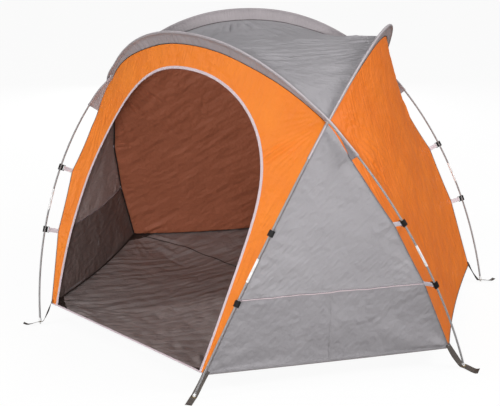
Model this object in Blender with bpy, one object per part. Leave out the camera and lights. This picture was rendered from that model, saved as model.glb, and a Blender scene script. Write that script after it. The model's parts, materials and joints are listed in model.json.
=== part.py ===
"""Beach tent on three crossing poles, each bent into an arch between two feet.

The plan is a hexagon whose sides alternate between a narrow orange side and
a wide grey side. Everything repeats three times around the middle: an arch,
an orange panel, a grey panel, four pole clips. Lengths are in metres, +Z is
up, the door faces -Y and the tent stands on the floor at z = 0.
"""

import math

import bmesh
import bpy
import numpy as np
from mathutils import Matrix

# Plan and arches
ORANGE_SIDE = 1.040  # between the two feet of an orange side
GREY_SIDE = 1.165  # between the two feet of a grey side
ARCH_RISE = 1.447  # rise of a pole, measured in its own leaning plane
ARCH_LEAN = math.radians(22.3)
ARCH_ALONG_SHARE = 0.927  # powers that square off the arch a little
ARCH_UP_SHARE = 1.053
TURNS = 3  # everything repeats this often around the middle

# Poles and their fittings
POLE_RADIUS = 0.00425
POLE_SECTIONS = 7
FERRULE_RADIUS = 0.0054
FERRULE_SOCKET = 0.045  # how far the lower section goes into the ferrule
FERRULE_GRIP = 0.055  # how far the ferrule goes up the next section
FERRULE_CHAMFER = 0.001
TIP_RISE = 0.002  # the pin ends this far above its foot point
TIP_POINT_RADIUS = 0.0012
TIP_POINT_LENGTH = 0.003
PIN_RADIUS = 0.0025
SHOULDER_RADIUS = 0.006
SHOULDER_LENGTH = 0.009
SHOULDER_TAPER = 0.006
LIFT = 0.0080  # half the distance between two poles where they cross
LIFT_REACH = 0.12

# Fabric
PANEL_THICKNESS = 0.0012
FLOOR_THICKNESS = 0.0015
SEAM_GAP = 0.0011  # each panel stops this far short of its seam line
CORNER_GAP = 0.0022
FLOOR_SEAM_GAP = 0.0007
CORNER_ALONG = 0.095  # the fabric corner, measured up the pole from its foot
CORNER_OFFSET = 0.056  # and inwards from the pole
LOWER_TAB_ALONG = 0.440
LOWER_TAB_OFFSET = 0.062
UPPER_TAB_ALONG = 0.740
UPPER_TAB_OFFSET = 0.058
SLEEVE_RUN_OUT = 0.178  # a sleeve runs on this far below its crossing
SHOULDER_OFFSET = 0.060  # fabric edge above the upper tab
CREST_OFFSET = 0.054
CROSSING_OFFSET = 0.018
CROSSING_REACH = 0.26  # the fabric edge runs in to a crossing over this length
CREST_REACH = 0.50
NEAR_CROSSING = 0.030
EDGE_SCALLOP = 0.008  # the edge is drawn in this far between two ties
FLOOR_EDGE_DRAW = 0.020  # the bottom edge is drawn in this far at mid side
FLOOR_EDGE_DROP = 0.012
FLOOR_RISE_WIDTH = 0.200  # the floor climbs to its edge over this width
PIPING_RADIUS = 0.0025
PIPING_GAP = 0.0004

# Door opening, seen from the front
DOOR_HALF_WIDTH = 0.530
DOOR_FOOT_HALF_WIDTH = 0.485
DOOR_WIDEST_HEIGHT = 0.600  # above the floor, where the sides turn into the arch
DOOR_TOP_BAND = 0.099  # height of the fabric left above the opening
DOOR_ARCH_SHARE = 2.2  # power of the arch: 2 is an ellipse, more is squarer

# Sleeves
SLEEVE_WALL = 0.0013
SLEEVE_BORE_GAP = 0.0005
FIN_THICKNESS = 0.0012
FIN_GAP = 0.0006

# Clips and their webbing tabs
CLIP_BAR_OFFSET = 0.018  # from the pole's axis to the clip's bar
CLIP_WALL = 0.0022
CLIP_GAP = 0.0005
CLIP_HOOK_WIDTH = 0.021  # along the pole
CLIP_HOOK_WALL = 0.0030
CLIP_MOUTH_LENGTH = 0.0065
CLIP_BAR_RADIUS = 0.0016
CLIP_SLOT = 0.0055
CLIP_SLOT_WIDTH = 0.0224
CLIP_CHEEK_HALF = 0.002  # half the thickness of the two ends that hold the bar
TAB_WIDTH = 0.020
TAB_GAP = 0.0004
TAB_WEBBING = 0.0012
TAB_END_GAP = 0.0006

# Corner straps and eyelets
STRAP_WIDTH = 0.025
STRAP_THICKNESS = 0.0016
STRAP_START = 0.0012  # the strap starts this far inside the fabric corner
STRAP_TAIL = 0.075
STRAP_TAIL_HEIGHT = 0.0072
STRAP_TAIL_CURL = 0.008
STRAP_SLACK = 0.004
EYELET_ALONG = 0.0125
EYELET_BORE_RADIUS = 0.0045
EYELET_BARREL = 0.0008
EYELET_RADIUS = 0.009
EYELET_FLANGE = 0.0008
FIT_GAP = 0.0003
OVERRUN = 0.002

# Facets and samples
POLE_SIDES = 8
ROUND_SIDES = 10
ARCH_SAMPLES = 4001
DOOR_SAMPLES = 1201
CORNER_TO_LOWER_STEPS = 4
LOWER_TO_UPPER_STEPS = 3
UPPER_TO_MOUTH_STEPS = 3
CREST_STEPS = 14
DOOR_STEPS = 3
FLOOR_RINGS = 3
STRAP_STEPS = 3
STRAP_FLAT_STRETCH = 2  # the stretch of the strap's route that lies under the eyelet
HOOK_STEPS = 2
PIPING_SIDES = 6
RELAX_ROUNDS = 600
SHARP_ANGLE = math.radians(40)

EYELET_HALF_HEIGHT = STRAP_THICKNESS / 2 + FIT_GAP + EYELET_FLANGE
APOTHEM = (ORANGE_SIDE + 2 * GREY_SIDE) / (2 * math.sqrt(3))
FRONT_RIGHT_FOOT = np.array((ORANGE_SIDE / 2, -APOTHEM, 0))
MIRROR_X = np.array((-1, 1, 1))
UP = np.array((0, 0, 1))
LEAN = np.array((0, -math.sin(ARCH_LEAN), math.cos(ARCH_LEAN)))
CROSSING_PLANE = math.pi / 2 - math.pi / TURNS  # the upright plane where two arches cross, off +X


def turn(points, count):
    """Turn points about the middle of the plan by count thirds of a turn."""
    angle = count * 2 * math.pi / TURNS
    cosine, sine = math.cos(angle), math.sin(angle)
    matrix = np.array(((cosine, -sine, 0), (sine, cosine, 0), (0, 0, 1)))
    return np.asarray(points) @ matrix.T


def unit(vector):
    return vector / np.linalg.norm(vector)


def smooth(share):
    share = min(max(share, 0), 1)
    return share * share * (3 - 2 * share)


RIGHT_FOOT = turn(FRONT_RIGHT_FOOT * MIRROR_X, 1)
REAR_RIGHT_FOOT = turn(FRONT_RIGHT_FOOT, 1)
# The middle of the plan stands here, so that the box with its strap tails is centred
TAIL_END_LEAN = (STRAP_TAIL_HEIGHT + STRAP_TAIL_CURL) * math.sin(ARCH_LEAN) / 2
PLAN_CENTRE_Y = (APOTHEM - REAR_RIGHT_FOOT[1]) / 2 - TAIL_END_LEAN


class Arch:
    """The front arch as a curve: half of it is worked out, half mirrored."""

    def __init__(self):
        angle = np.linspace(0, math.pi, ARCH_SAMPLES)
        cosine = np.cos(angle)
        along = (1 - np.sign(cosine) * np.abs(cosine) ** ARCH_ALONG_SHARE) / 2
        up = ARCH_RISE * np.clip(np.sin(angle), 0, 1) ** ARCH_UP_SHARE
        left_foot = RIGHT_FOOT * MIRROR_X
        self.points = left_foot + np.outer(along, RIGHT_FOOT - left_foot) + np.outer(up, LEAN)
        steps = np.linalg.norm(np.diff(self.points, axis=0), axis=1)
        self.lengths = np.concatenate(((0,), np.cumsum(steps)))
        self.length = self.lengths[-1]
        self.section = self.length / POLE_SECTIONS
        half = ARCH_SAMPLES // 2
        across = np.array((math.sin(CROSSING_PLANE), math.cos(CROSSING_PLANE), 0))
        crossing = np.interp(0, (self.points @ across)[half:], self.lengths[half:])
        self.crossing = self.length - crossing
        tangent = self.tangent(crossing)
        mirrored = tangent - 2 * (tangent @ across) * across
        normal = unit(np.cross(tangent, mirrored))
        self.crossing_normal = normal * np.sign(normal[2])

    def at(self, along):
        return np.array([np.interp(along, self.lengths, self.points[:, k]) for k in range(3)])

    def tangent(self, along):
        step = self.length / ARCH_SAMPLES
        return unit(self.at(min(along + step, self.length)) - self.at(max(along - step, 0)))

    def inward(self, along):
        """The direction square to the pole, in the arch's plane, inwards."""
        return unit(np.cross(self.tangent(along), np.cross((1, 0, 0), LEAN)))


ARCH = Arch()
SLEEVE_MOUTH_ALONG = ARCH.crossing - SLEEVE_RUN_OUT


def edge_offset(along):
    """How far the fabric edge lies inside the pole, at a length up from its foot."""
    if along >= ARCH.crossing:
        share = smooth((along - ARCH.crossing) / CREST_REACH)
        return CROSSING_OFFSET + share * (CREST_OFFSET - CROSSING_OFFSET)
    shoulder = ARCH.crossing - CROSSING_REACH
    if along >= shoulder:
        share = smooth((ARCH.crossing - along) / CROSSING_REACH)
        return CROSSING_OFFSET + share * (SHOULDER_OFFSET - CROSSING_OFFSET)
    ties = (
        (CORNER_ALONG, CORNER_OFFSET),
        (LOWER_TAB_ALONG, LOWER_TAB_OFFSET),
        (UPPER_TAB_ALONG, UPPER_TAB_OFFSET),
        (shoulder, SHOULDER_OFFSET),
    )
    for (start, low), (end, high) in zip(ties, ties[1:]):
        if along <= end:
            share = (along - start) / (end - start)
            return low + share * (high - low) + EDGE_SCALLOP * 4 * share * (1 - share)
    return SHOULDER_OFFSET


def near_crossing(along):
    """One at a crossing, falling to zero over the lift's reach."""
    from_foot = min(along, ARCH.length - along)
    distance = abs(from_foot - ARCH.crossing) / LIFT_REACH
    return (1 + math.cos(math.pi * min(distance, 1))) / 2


def crossing_normal(along):
    right = along > ARCH.length / 2
    return ARCH.crossing_normal if right else ARCH.crossing_normal * MIRROR_X


def seam(along):
    """The fabric's edge beside the pole; at a crossing it runs under both poles."""
    from_foot = min(along, ARCH.length - along)
    offset = edge_offset(from_foot)
    inward = ARCH.inward(along)
    share = near_crossing(along)
    mixed = (1 - share) * inward - share * crossing_normal(along)
    return ARCH.at(along) + offset * unit(mixed)


def centre_line(along, start_lift, end_lift):
    """The pole's own line, lifted or sunk where it passes another pole."""
    lift = start_lift if along < ARCH.length / 2 else end_lift
    return ARCH.at(along) + crossing_normal(along) * lift * LIFT * near_crossing(along)


def spread(start, end, steps):
    """Lengths from start to end, both kept, in equal steps."""
    return [start + (end - start) * k / steps for k in range(steps + 1)]


def joined(*runs):
    """Runs of lengths end to end, each shared end kept once."""
    result = list(runs[0])
    for run in runs[1:]:
        result.extend(run[1:])
    return result


# Lengths from the foot at which the panels, the sleeves and the poles agree
CORNER_TO_MOUTH = joined(
    spread(CORNER_ALONG, LOWER_TAB_ALONG, CORNER_TO_LOWER_STEPS),
    spread(LOWER_TAB_ALONG, UPPER_TAB_ALONG, LOWER_TO_UPPER_STEPS),
    spread(UPPER_TAB_ALONG, SLEEVE_MOUTH_ALONG, UPPER_TO_MOUTH_STEPS),
)
MOUTH_TO_CROSSING = (SLEEVE_MOUTH_ALONG, ARCH.crossing - NEAR_CROSSING, ARCH.crossing)
LEG = joined(CORNER_TO_MOUTH, MOUTH_TO_CROSSING)
FAR_CROSSING = ARCH.length - ARCH.crossing
CREST = joined(
    (ARCH.crossing, ARCH.crossing + NEAR_CROSSING),
    spread(ARCH.crossing + NEAR_CROSSING, FAR_CROSSING - NEAR_CROSSING, CREST_STEPS),
    (FAR_CROSSING - NEAR_CROSSING, FAR_CROSSING),
)
LEFT_LEG_SEAM = np.array([seam(along) for along in LEG])
RIGHT_LEG_SEAM = LEFT_LEG_SEAM * MIRROR_X
CREST_SEAM = np.array([seam(along) for along in CREST])
DOOR_HEIGHT = CREST_SEAM[:, 2].max() - DOOR_TOP_BAND


def bottom_edge(start, end, steps):
    """A bottom edge between two fabric corners, drawn in and hanging a little."""
    inward = unit(np.cross(UP, end - start))
    points = []
    for k in range(steps + 1):
        share = k / steps
        belly = 4 * share * (1 - share)
        point = start + share * (end - start)
        points.append(point + belly * (FLOOR_EDGE_DRAW * inward - FLOOR_EDGE_DROP * UP))
    return np.array(points)


FRONT_BOTTOM = bottom_edge(turn(RIGHT_LEG_SEAM[0], 2), turn(LEFT_LEG_SEAM[0], 1), len(CREST) - 1)
SIDE_BOTTOM = bottom_edge(turn(LEFT_LEG_SEAM[0], 1), RIGHT_LEG_SEAM[0], len(LEG) - 1)


def orange_membrane():
    """The front orange panel as rows from its bottom edge up to its crest."""
    left, right = turn(RIGHT_LEG_SEAM, 2), turn(LEFT_LEG_SEAM, 1)
    rows, columns = len(LEG), len(CREST)
    up = np.linspace(0, 1, rows)[:, None, None]
    across = np.linspace(0, 1, columns)[None, :, None]
    grid = (1 - across) * left[:, None] + across * right[:, None]
    grid = grid + (1 - up) * FRONT_BOTTOM[None] + up * CREST_SEAM[None]
    corners = (1 - up) * ((1 - across) * left[0] + across * right[0])
    corners = corners + up * ((1 - across) * left[-1] + across * right[-1])
    grid = grid - corners
    for _ in range(RELAX_ROUNDS):
        beside = grid[1:-1, :-2] + grid[1:-1, 2:]
        above = grid[:-2, 1:-1] + grid[2:, 1:-1]
        grid[1:-1, 1:-1] = (beside + above) / 4
    return grid


def triangle_membrane(bottom, left, right):
    """A three-sided panel: row k has one point fewer than the row below it."""
    steps = len(bottom) - 1
    rows = [bottom]
    for k in range(1, steps + 1):
        share = np.linspace(0, 1, steps - k + 1)[:, None] if k < steps else np.zeros((1, 1))
        rows.append((1 - share) * left[k] + share * right[k])
    for _ in range(RELAX_ROUNDS):
        for k in range(1, steps - 1):
            row, below, above = rows[k], rows[k - 1], rows[k + 1]
            total = row[:-2] + row[2:] + below[1:-2] + below[2:-1] + above[:-1] + above[1:]
            row[1:-1] = total / 6
    return rows


def new_material(name, colour, roughness, metallic=0):
    material = bpy.data.materials.new(name)
    material.use_nodes = True
    shader = material.node_tree.nodes["Principled BSDF"]
    shader.inputs["Base Color"].default_value = (*colour, 1)
    shader.inputs["Roughness"].default_value = roughness
    shader.inputs["Metallic"].default_value = metallic
    return material


def add_object(name, mesh, material, matrix=None, round_piece=False):
    if not mesh.materials:
        mesh.materials.append(material)
    if round_piece:
        mesh.shade_smooth()
        mesh.set_sharp_from_angle(angle=SHARP_ANGLE)
    piece = bpy.data.objects.new(name, mesh)
    bpy.context.collection.objects.link(piece)
    piece.parent = PLAN
    if matrix is not None:
        piece.matrix_local = matrix
    return piece


def mesh_from(name, points, faces):
    mesh = bpy.data.meshes.new(name)
    mesh.from_pydata([tuple(point) for point in points], [], faces)
    shape = bmesh.new()
    shape.from_mesh(mesh)
    bmesh.ops.recalc_face_normals(shape, faces=shape.faces)
    shape.to_mesh(mesh)
    shape.free()
    return mesh


def cloth(name, points, faces, material, thickness=PANEL_THICKNESS, offset=0):
    """An open patch of fabric, given its thickness by Solidify."""
    mesh = bpy.data.meshes.new(name)
    mesh.from_pydata([tuple(point) for point in points], [], faces)
    piece = add_object(name, mesh, material)
    solid = piece.modifiers.new("thickness", "SOLIDIFY")
    solid.thickness = thickness
    solid.offset = offset
    return piece


def sweep(sections, capped=True):
    """Points and faces of a body through sections that have like counts of points."""
    count = len(sections[0])
    points = np.concatenate(sections)
    faces = []
    last = len(sections) if not capped else len(sections) - 1
    for k in range(last):
        here, there = k * count, (k + 1) % len(sections) * count
        for j in range(count):
            after = (j + 1) % count
            faces.append((here + j, here + after, there + after, there + j))
    if capped:
        faces.append(tuple(range(count - 1, -1, -1)))
        faces.append(tuple(range((len(sections) - 1) * count, len(sections) * count)))
    return points, faces


def section_frame(along, lifts):
    """Centre, direction, and the axes towards the seam and square to it."""
    centre = centre_line(along, *lifts)
    step = ARCH.length / ARCH_SAMPLES
    ahead = centre_line(min(along + step, ARCH.length), *lifts)
    behind = centre_line(max(along - step, 0), *lifts)
    direction = unit(ahead - behind)
    from_foot = min(along, ARCH.length - along)
    towards = seam(along) - centre if from_foot >= CORNER_ALONG else ARCH.inward(along)
    towards = unit(towards - (towards @ direction) * direction)
    return centre, direction, towards, np.cross(direction, towards)


def ring(along, radius, lifts, sides=POLE_SIDES):
    centre, _, towards, across = section_frame(along, lifts)
    radius = radius / math.cos(math.pi / sides)
    angles = [2 * math.pi * (k + 0.5) / sides for k in range(sides)]
    return np.array([
        centre + radius * (math.cos(angle) * towards + math.sin(angle) * across) for angle in angles
    ])


def pole_rings(profile, lifts, from_end, shift):
    """Rings of a pole from lengths and radii, turned to the arch's own place."""
    rings = []
    for along, radius in profile:
        place = ARCH.length - along if from_end else along
        rings.append(turn(ring(place, radius, lifts), shift))
    return rings


def lower_section_profile():
    """Pin, shoulder and rod of the section that stands on the floor."""
    shoulder = EYELET_ALONG + EYELET_HALF_HEIGHT + FIT_GAP
    profile = [
        (TIP_RISE, TIP_POINT_RADIUS),
        (TIP_RISE + TIP_POINT_LENGTH, PIN_RADIUS),
        (shoulder, PIN_RADIUS),
        (shoulder, SHOULDER_RADIUS),
        (shoulder + SHOULDER_LENGTH, SHOULDER_RADIUS),
        (shoulder + SHOULDER_LENGTH + SHOULDER_TAPER, POLE_RADIUS),
    ]
    socket = ARCH.section - FERRULE_SOCKET
    profile.extend((along, POLE_RADIUS) for along in CORNER_TO_MOUTH if along < socket)
    profile.append((socket, POLE_RADIUS))
    profile.append((ARCH.section - FIT_GAP, POLE_RADIUS))
    return profile


def crown_end_profile():
    """The ferrule that takes the lower section, and the rod above it."""
    bore = POLE_RADIUS + SLEEVE_BORE_GAP
    grip = ARCH.section + FERRULE_GRIP
    profile = [
        (ARCH.section, bore),
        (ARCH.section - FERRULE_SOCKET, bore),
        (ARCH.section - FERRULE_SOCKET, FERRULE_RADIUS),
        (ARCH.section, FERRULE_RADIUS),
        (grip, FERRULE_RADIUS),
        (grip + FERRULE_CHAMFER, POLE_RADIUS),
    ]
    profile.extend((along, POLE_RADIUS) for along in LEG if along > grip + FERRULE_CHAMFER)
    return profile


def add_poles():
    for arch in ARCHES:
        start = lower_section_profile()
        for foot, from_end in zip(arch["feet"], (False, True)):
            rings = pole_rings(start, arch["lifts"], from_end, arch["turn"])
            mesh = mesh_from("pole_section", *sweep(rings))
            add_object(f"pole_section_{foot}", mesh, MATERIALS["pole"], round_piece=True)
        end = crown_end_profile()
        crest = [(along, POLE_RADIUS) for along in CREST[1:-1]]
        rings = pole_rings(end + crest, arch["lifts"], False, arch["turn"])
        rings += pole_rings(end, arch["lifts"], True, arch["turn"])[::-1]
        mesh = mesh_from("pole_crown", *sweep(rings))
        add_object(f"pole_crown_{arch['name']}", mesh, MATERIALS["pole"], round_piece=True)


def sleeve_section(along, lifts):
    """Outer outline with its fin, then the bore, as one closed ring of points."""
    centre, _, towards, across = section_frame(along, lifts)
    bore = POLE_RADIUS + SLEEVE_BORE_GAP
    outer = (bore + SLEEVE_WALL) / math.cos(math.pi / POLE_SIDES)
    inner = bore / math.cos(math.pi / POLE_SIDES)
    from_foot = min(along, ARCH.length - along)
    reach = np.linalg.norm(seam(along) - centre) - FIN_GAP
    if abs(from_foot - ARCH.crossing) < NEAR_CROSSING / 2:
        reach = bore + SLEEVE_WALL
    half = FIN_THICKNESS / 2
    angles = [2 * math.pi * (k + 0.5) / POLE_SIDES for k in range(POLE_SIDES)]
    outline = [centre + reach * towards + half * across]
    for angle in angles:
        outline.append(centre + outer * (math.cos(angle) * towards + math.sin(angle) * across))
    outline.append(centre + reach * towards - half * across)
    bores = [
        centre + inner * (math.cos(angle) * towards + math.sin(angle) * across) for angle in angles
    ]
    return np.array(outline), np.array(bores)


def mouth_faces(station, outline_count, shift):
    """Faces between the outline and the bore at one open end of a sleeve."""
    outer = [station * outline_count + k for k in range(outline_count)]
    inner = [shift + station * POLE_SIDES + k for k in range(POLE_SIDES)]
    faces = []
    for k in range(POLE_SIDES - 1):
        faces.append((outer[k + 1], outer[k + 2], inner[k + 1], inner[k]))
    faces.append((outer[0], outer[1], inner[0], inner[-1], outer[-2], outer[-1]))
    return faces


def add_sleeves():
    far_end = [ARCH.length - along for along in MOUTH_TO_CROSSING[::-1]]
    stations = joined(MOUTH_TO_CROSSING, CREST, far_end)
    for arch in ARCHES:
        outlines, bores = [], []
        for along in stations:
            outline, bore = sleeve_section(along, arch["lifts"])
            outlines.append(turn(outline, arch["turn"]))
            bores.append(turn(bore, arch["turn"]))
        outer_points, outer_faces = sweep(outlines, capped=True)
        inner_points, inner_faces = sweep(bores, capped=True)
        outer_faces, inner_faces = outer_faces[:-2], inner_faces[:-2]
        shift = len(outer_points)
        faces = outer_faces + [tuple(k + shift for k in face) for face in inner_faces]
        for at_end in (False, True):
            faces += mouth_faces(len(stations) - 1 if at_end else 0, len(outlines[0]), shift)
        mesh = mesh_from("sleeve", np.concatenate((outer_points, inner_points)), faces)
        add_object(f"sleeve_{arch['name']}", mesh, MATERIALS["sleeve"], round_piece=True)


def drawn_in(point, neighbour, gap):
    return point + gap * unit(neighbour - point)


def inset_grid(grid):
    """The grid with its edge points drawn in from the seams, corners further."""
    rows, columns = len(grid), len(grid[0])
    inset = np.array(grid)
    for i in range(rows):
        for j in range(columns):
            inner_i = min(max(i, 1), rows - 2)
            inner_j = min(max(j, 1), columns - 2)
            if (inner_i, inner_j) != (i, j):
                corner = inner_i != i and inner_j != j
                gap = CORNER_GAP if corner else SEAM_GAP
                inset[i, j] = drawn_in(grid[i][j], grid[inner_i][inner_j], gap)
    return inset


def grid_faces(rows, columns):
    faces = []
    for i in range(rows - 1):
        for j in range(columns - 1):
            here = i * columns + j
            faces.append((here, here + 1, here + columns + 1, here + columns))
    return faces


def add_orange_panels():
    grid = orange_membrane()
    faces = grid_faces(*grid.shape[:2])
    for count, name in ((1, "rear_right"), (2, "rear_left")):
        points = turn(inset_grid(grid).reshape(-1, 3), count)
        cloth(f"orange_panel_{name}", points, faces, MATERIALS["orange"])
    add_door(grid)


def door_half_width(height):
    """Half the width of the door opening at a height above the floor."""
    if height >= DOOR_WIDEST_HEIGHT:
        rise = (height - DOOR_WIDEST_HEIGHT) / (DOOR_HEIGHT - DOOR_WIDEST_HEIGHT)
        return DOOR_HALF_WIDTH * max(1 - rise**DOOR_ARCH_SHARE, 0) ** (1 / DOOR_ARCH_SHARE)
    drop = (DOOR_WIDEST_HEIGHT - height) / (DOOR_WIDEST_HEIGHT - FRONT_BOTTOM[0][2])
    return DOOR_HALF_WIDTH - (DOOR_HALF_WIDTH - DOOR_FOOT_HALF_WIDTH) * drop**2


def door_outline():
    """The door's edge seen from the front, as many (x, z) points from foot to foot."""
    foot = np.interp(-DOOR_FOOT_HALF_WIDTH, FRONT_BOTTOM[:, 0], FRONT_BOTTOM[:, 2])
    rise = np.sin(np.linspace(0, math.pi / 2, DOOR_SAMPLES))
    heights = foot + rise * (DOOR_HEIGHT - foot)
    half = np.array([(-door_half_width(height), height) for height in heights])
    return np.concatenate((half, half[-2::-1] * (-1, 1)))


def at_shares(line, shares):
    """Points of a line at shares of its length."""
    lengths = np.concatenate(((0,), np.cumsum(np.linalg.norm(np.diff(line, axis=0), axis=1))))
    places = np.asarray(shares) * lengths[-1]
    return np.stack([np.interp(places, lengths, line[:, k]) for k in range(line.shape[1])], axis=1)


def depth_on(grid, x, z):
    """The depth of the membrane behind a point seen from the front."""
    best, depth = math.inf, 0
    rows, columns = grid.shape[:2]
    for i in range(rows - 1):
        for j in range(columns - 1):
            a, b, c, d = grid[i, j], grid[i, j + 1], grid[i + 1, j + 1], grid[i + 1, j]
            for first, second, third in ((a, b, c), (a, c, d)):
                sides = np.array((second - first, third - first))
                flat = sides[:, (0, 2)].T
                s, t = np.linalg.solve(flat, (x - first[0], z - first[2]))
                miss = max(-s, -t, s + t - 1, 0)
                if miss < best:
                    best, depth = miss, first[1] + s * sides[0][1] + t * sides[1][1]
    return depth


def add_door(grid):
    """The front panel as a band round the door opening, and the piping on its edge."""
    outer = np.concatenate((grid[:-1, 0], grid[-1], grid[-2::-1, -1]))
    lengths = np.concatenate(((0,), np.cumsum(np.linalg.norm(np.diff(outer, axis=0), axis=1))))
    edge = at_shares(door_outline(), lengths / lengths[-1])
    strips = [outer]
    for step in range(1, DOOR_STEPS + 1):
        share = step / DOOR_STEPS
        row = []
        for point, (x, z) in zip(outer, edge):
            x = point[0] + share * (x - point[0])
            z = point[2] + share * (z - point[2])
            row.append((x, depth_on(grid, x, z), z))
        strips.append(np.array(row))
    inset = inset_grid(strips)
    faces = [face[::-1] for face in grid_faces(*inset.shape[:2])]
    cloth("door_panel", inset.reshape(-1, 3), faces, MATERIALS["orange"])
    add_piping(inset[-1], inset[-2])


def square_to(vector, direction):
    """The unit vector nearest to a vector and square to a direction."""
    return unit(vector - (vector @ direction) * direction)


def circle(centre, side, other, radius, sides):
    """A ring of points whose flats are a radius away from its centre."""
    radius = radius / math.cos(math.pi / sides)
    angles = [2 * math.pi * (k + 0.5) / sides for k in range(sides)]
    return np.array([
        centre + radius * (math.cos(angle) * side + math.sin(angle) * other) for angle in angles
    ])


def add_piping(edge, beside):
    """The tube sewn along the door's edge, just clear of the panel."""
    clear = PIPING_RADIUS + PIPING_GAP
    last = len(edge) - 1
    line = []
    for k, point in enumerate(edge):
        direction = unit(edge[min(k + 1, last)] - edge[max(k - 1, 0)])
        line.append(point + clear * square_to(point - beside[k], direction))
    rings = []
    for k, point in enumerate(line):
        direction = unit(line[min(k + 1, last)] - line[max(k - 1, 0)])
        side = square_to(beside[k] - point, direction)
        rings.append(circle(point, side, np.cross(direction, side), PIPING_RADIUS, PIPING_SIDES))
    mesh = mesh_from("door_piping", *sweep(rings))
    add_object("door_piping", mesh, MATERIALS["piping"], round_piece=True)


def triangle_faces(first_row_count):
    """Faces between rows that each have one point fewer than the row below."""
    faces, start, count = [], 0, first_row_count
    while count > 1:
        above = start + count
        for j in range(count - 1):
            faces.append((start + j, start + j + 1, above + j))
            if j > 0:
                faces.append((start + j, above + j, above + j - 1))
        start, count = above, count - 1
    return faces


def inset_rows(rows, last_row=None):
    """Rows of a three-sided panel drawn in from their seams, up to a cut row or the apex."""
    result = []
    top = len(rows) - 1 if last_row is None else last_row
    for k, row in enumerate(rows[: top + 1]):
        row = np.array(row)
        inset = row.copy()
        if len(row) > 2:
            beside = rows[k - 1] if k == top else rows[k + 1]
            for j in range(len(row)):
                end = j in (0, len(row) - 1)
                edge = k in (0, top)
                inner = min(max(j, 1), len(row) - 2)
                if k == 0:
                    target = beside[min(max(j - 1, 1), len(beside) - 2)]
                elif k == top:
                    target = beside[min(max(j, 1), len(beside) - 2) + (1 if j > 0 else 0)]
                else:
                    target = row[inner]
                if edge or end:
                    inset[j] = drawn_in(row[j], target, CORNER_GAP if edge and end else SEAM_GAP)
        elif len(row) == 2:
            middle = (rows[k - 1][1] + row.mean(axis=0)) / 2
            inset = np.array([drawn_in(point, middle, SEAM_GAP) for point in row])
        else:
            inset[0] = drawn_in(row[0], rows[k - 2][1], CORNER_GAP)
        result.append(inset)
    return result


def add_grey_panels():
    left, right = turn(LEFT_LEG_SEAM, 1), RIGHT_LEG_SEAM
    rows = triangle_membrane(SIDE_BOTTOM, left, right)
    cut = CORNER_TO_LOWER_STEPS
    lower = inset_rows(rows, last_row=cut)
    upper = inset_rows(rows[cut:])
    lower_count = sum(len(row) for row in lower)
    lower_faces = [face for face in triangle_faces(len(rows[0])) if max(face) < lower_count]
    upper_faces = triangle_faces(len(upper[0]))
    for count, name in enumerate(("right", "rear", "left")):
        points = turn(np.concatenate(lower), count)
        cloth(f"grey_panel_{name}_lower", points, lower_faces, MATERIALS["grey"])
        points = turn(np.concatenate(upper), count)
        cloth(f"grey_panel_{name}_upper", points, upper_faces, MATERIALS["grey"])


def add_roof():
    rows = triangle_membrane(CREST_SEAM, turn(CREST_SEAM, 2)[::-1], turn(CREST_SEAM, 1))
    points = np.concatenate(inset_rows(rows))
    cloth("roof_panel", points, triangle_faces(len(rows[0])), MATERIALS["grey"])


def add_floor():
    """The groundsheet: flat on the ground, climbing to its edge all round."""
    third = np.concatenate((FRONT_BOTTOM[:-1], SIDE_BOTTOM[:-1]))
    edge = np.concatenate([turn(third, k) for k in range(TURNS)])
    first_corners = {k * len(third) for k in range(TURNS)}
    corners = first_corners | {corner + len(FRONT_BOTTOM) - 1 for corner in first_corners}
    edge = edge - FLOOR_THICKNESS / 2 * UP
    rings = [edge]
    for k in range(1, FLOOR_RINGS + 1):
        share = k / FLOOR_RINGS
        distance = np.linalg.norm(edge[:, :2], axis=1)
        flat = edge * (1 - share * FLOOR_RISE_WIDTH / distance)[:, None]
        flat[:, 2] = edge[:, 2] * (1 - share) ** 2
        rings.append(flat)
    rings[0] = np.array([
        drawn_in(point, rings[1][k], CORNER_GAP if k in corners else FLOOR_SEAM_GAP)
        for k, point in enumerate(edge)
    ])
    count = len(edge)
    faces = []
    for i in range(FLOOR_RINGS):
        here, there = i * count, (i + 1) * count
        for k in range(count):
            after = (k + 1) % count
            faces.append((here + k, here + after, there + after, there + k))
    faces.append(tuple(range(FLOOR_RINGS * count, (FLOOR_RINGS + 1) * count)))
    cloth("groundsheet", np.concatenate(rings), faces, MATERIALS["floor"], FLOOR_THICKNESS, 1)


def prism(outline, low, high):
    """A straight body with an outline in x and y, from z low to z high."""
    bottom = [(x, y, low) for x, y in outline]
    top = [(x, y, high) for x, y in outline]
    return mesh_from("prism", *sweep([np.array(bottom), np.array(top)]))


def block(low, high):
    (x0, y0, z0), (x1, y1, z1) = low, high
    return prism(((x0, y0), (x1, y0), (x1, y1), (x0, y1)), z0, z1)


def baked(piece, name):
    graph = bpy.context.evaluated_depsgraph_get()
    mesh = bpy.data.meshes.new_from_object(piece.evaluated_get(graph))
    mesh.name = name
    return mesh


def united(name, meshes):
    """One closed mesh from several that overlap."""
    pieces = []
    for mesh in meshes:
        piece = bpy.data.objects.new(name, mesh)
        bpy.context.collection.objects.link(piece)
        pieces.append(piece)
    for other in pieces[1:]:
        union = pieces[0].modifiers.new("union", "BOOLEAN")
        union.operation = "UNION"
        union.object = other
    result = baked(pieces[0], name)
    for piece in pieces:
        bpy.data.objects.remove(piece)
    return result


def arc(radius, start, end, steps):
    """Points on a circle about the clip's bar."""
    angles = np.linspace(start, end, steps + 1)
    return [(radius * math.cos(angle), radius * math.sin(angle)) for angle in angles]


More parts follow.
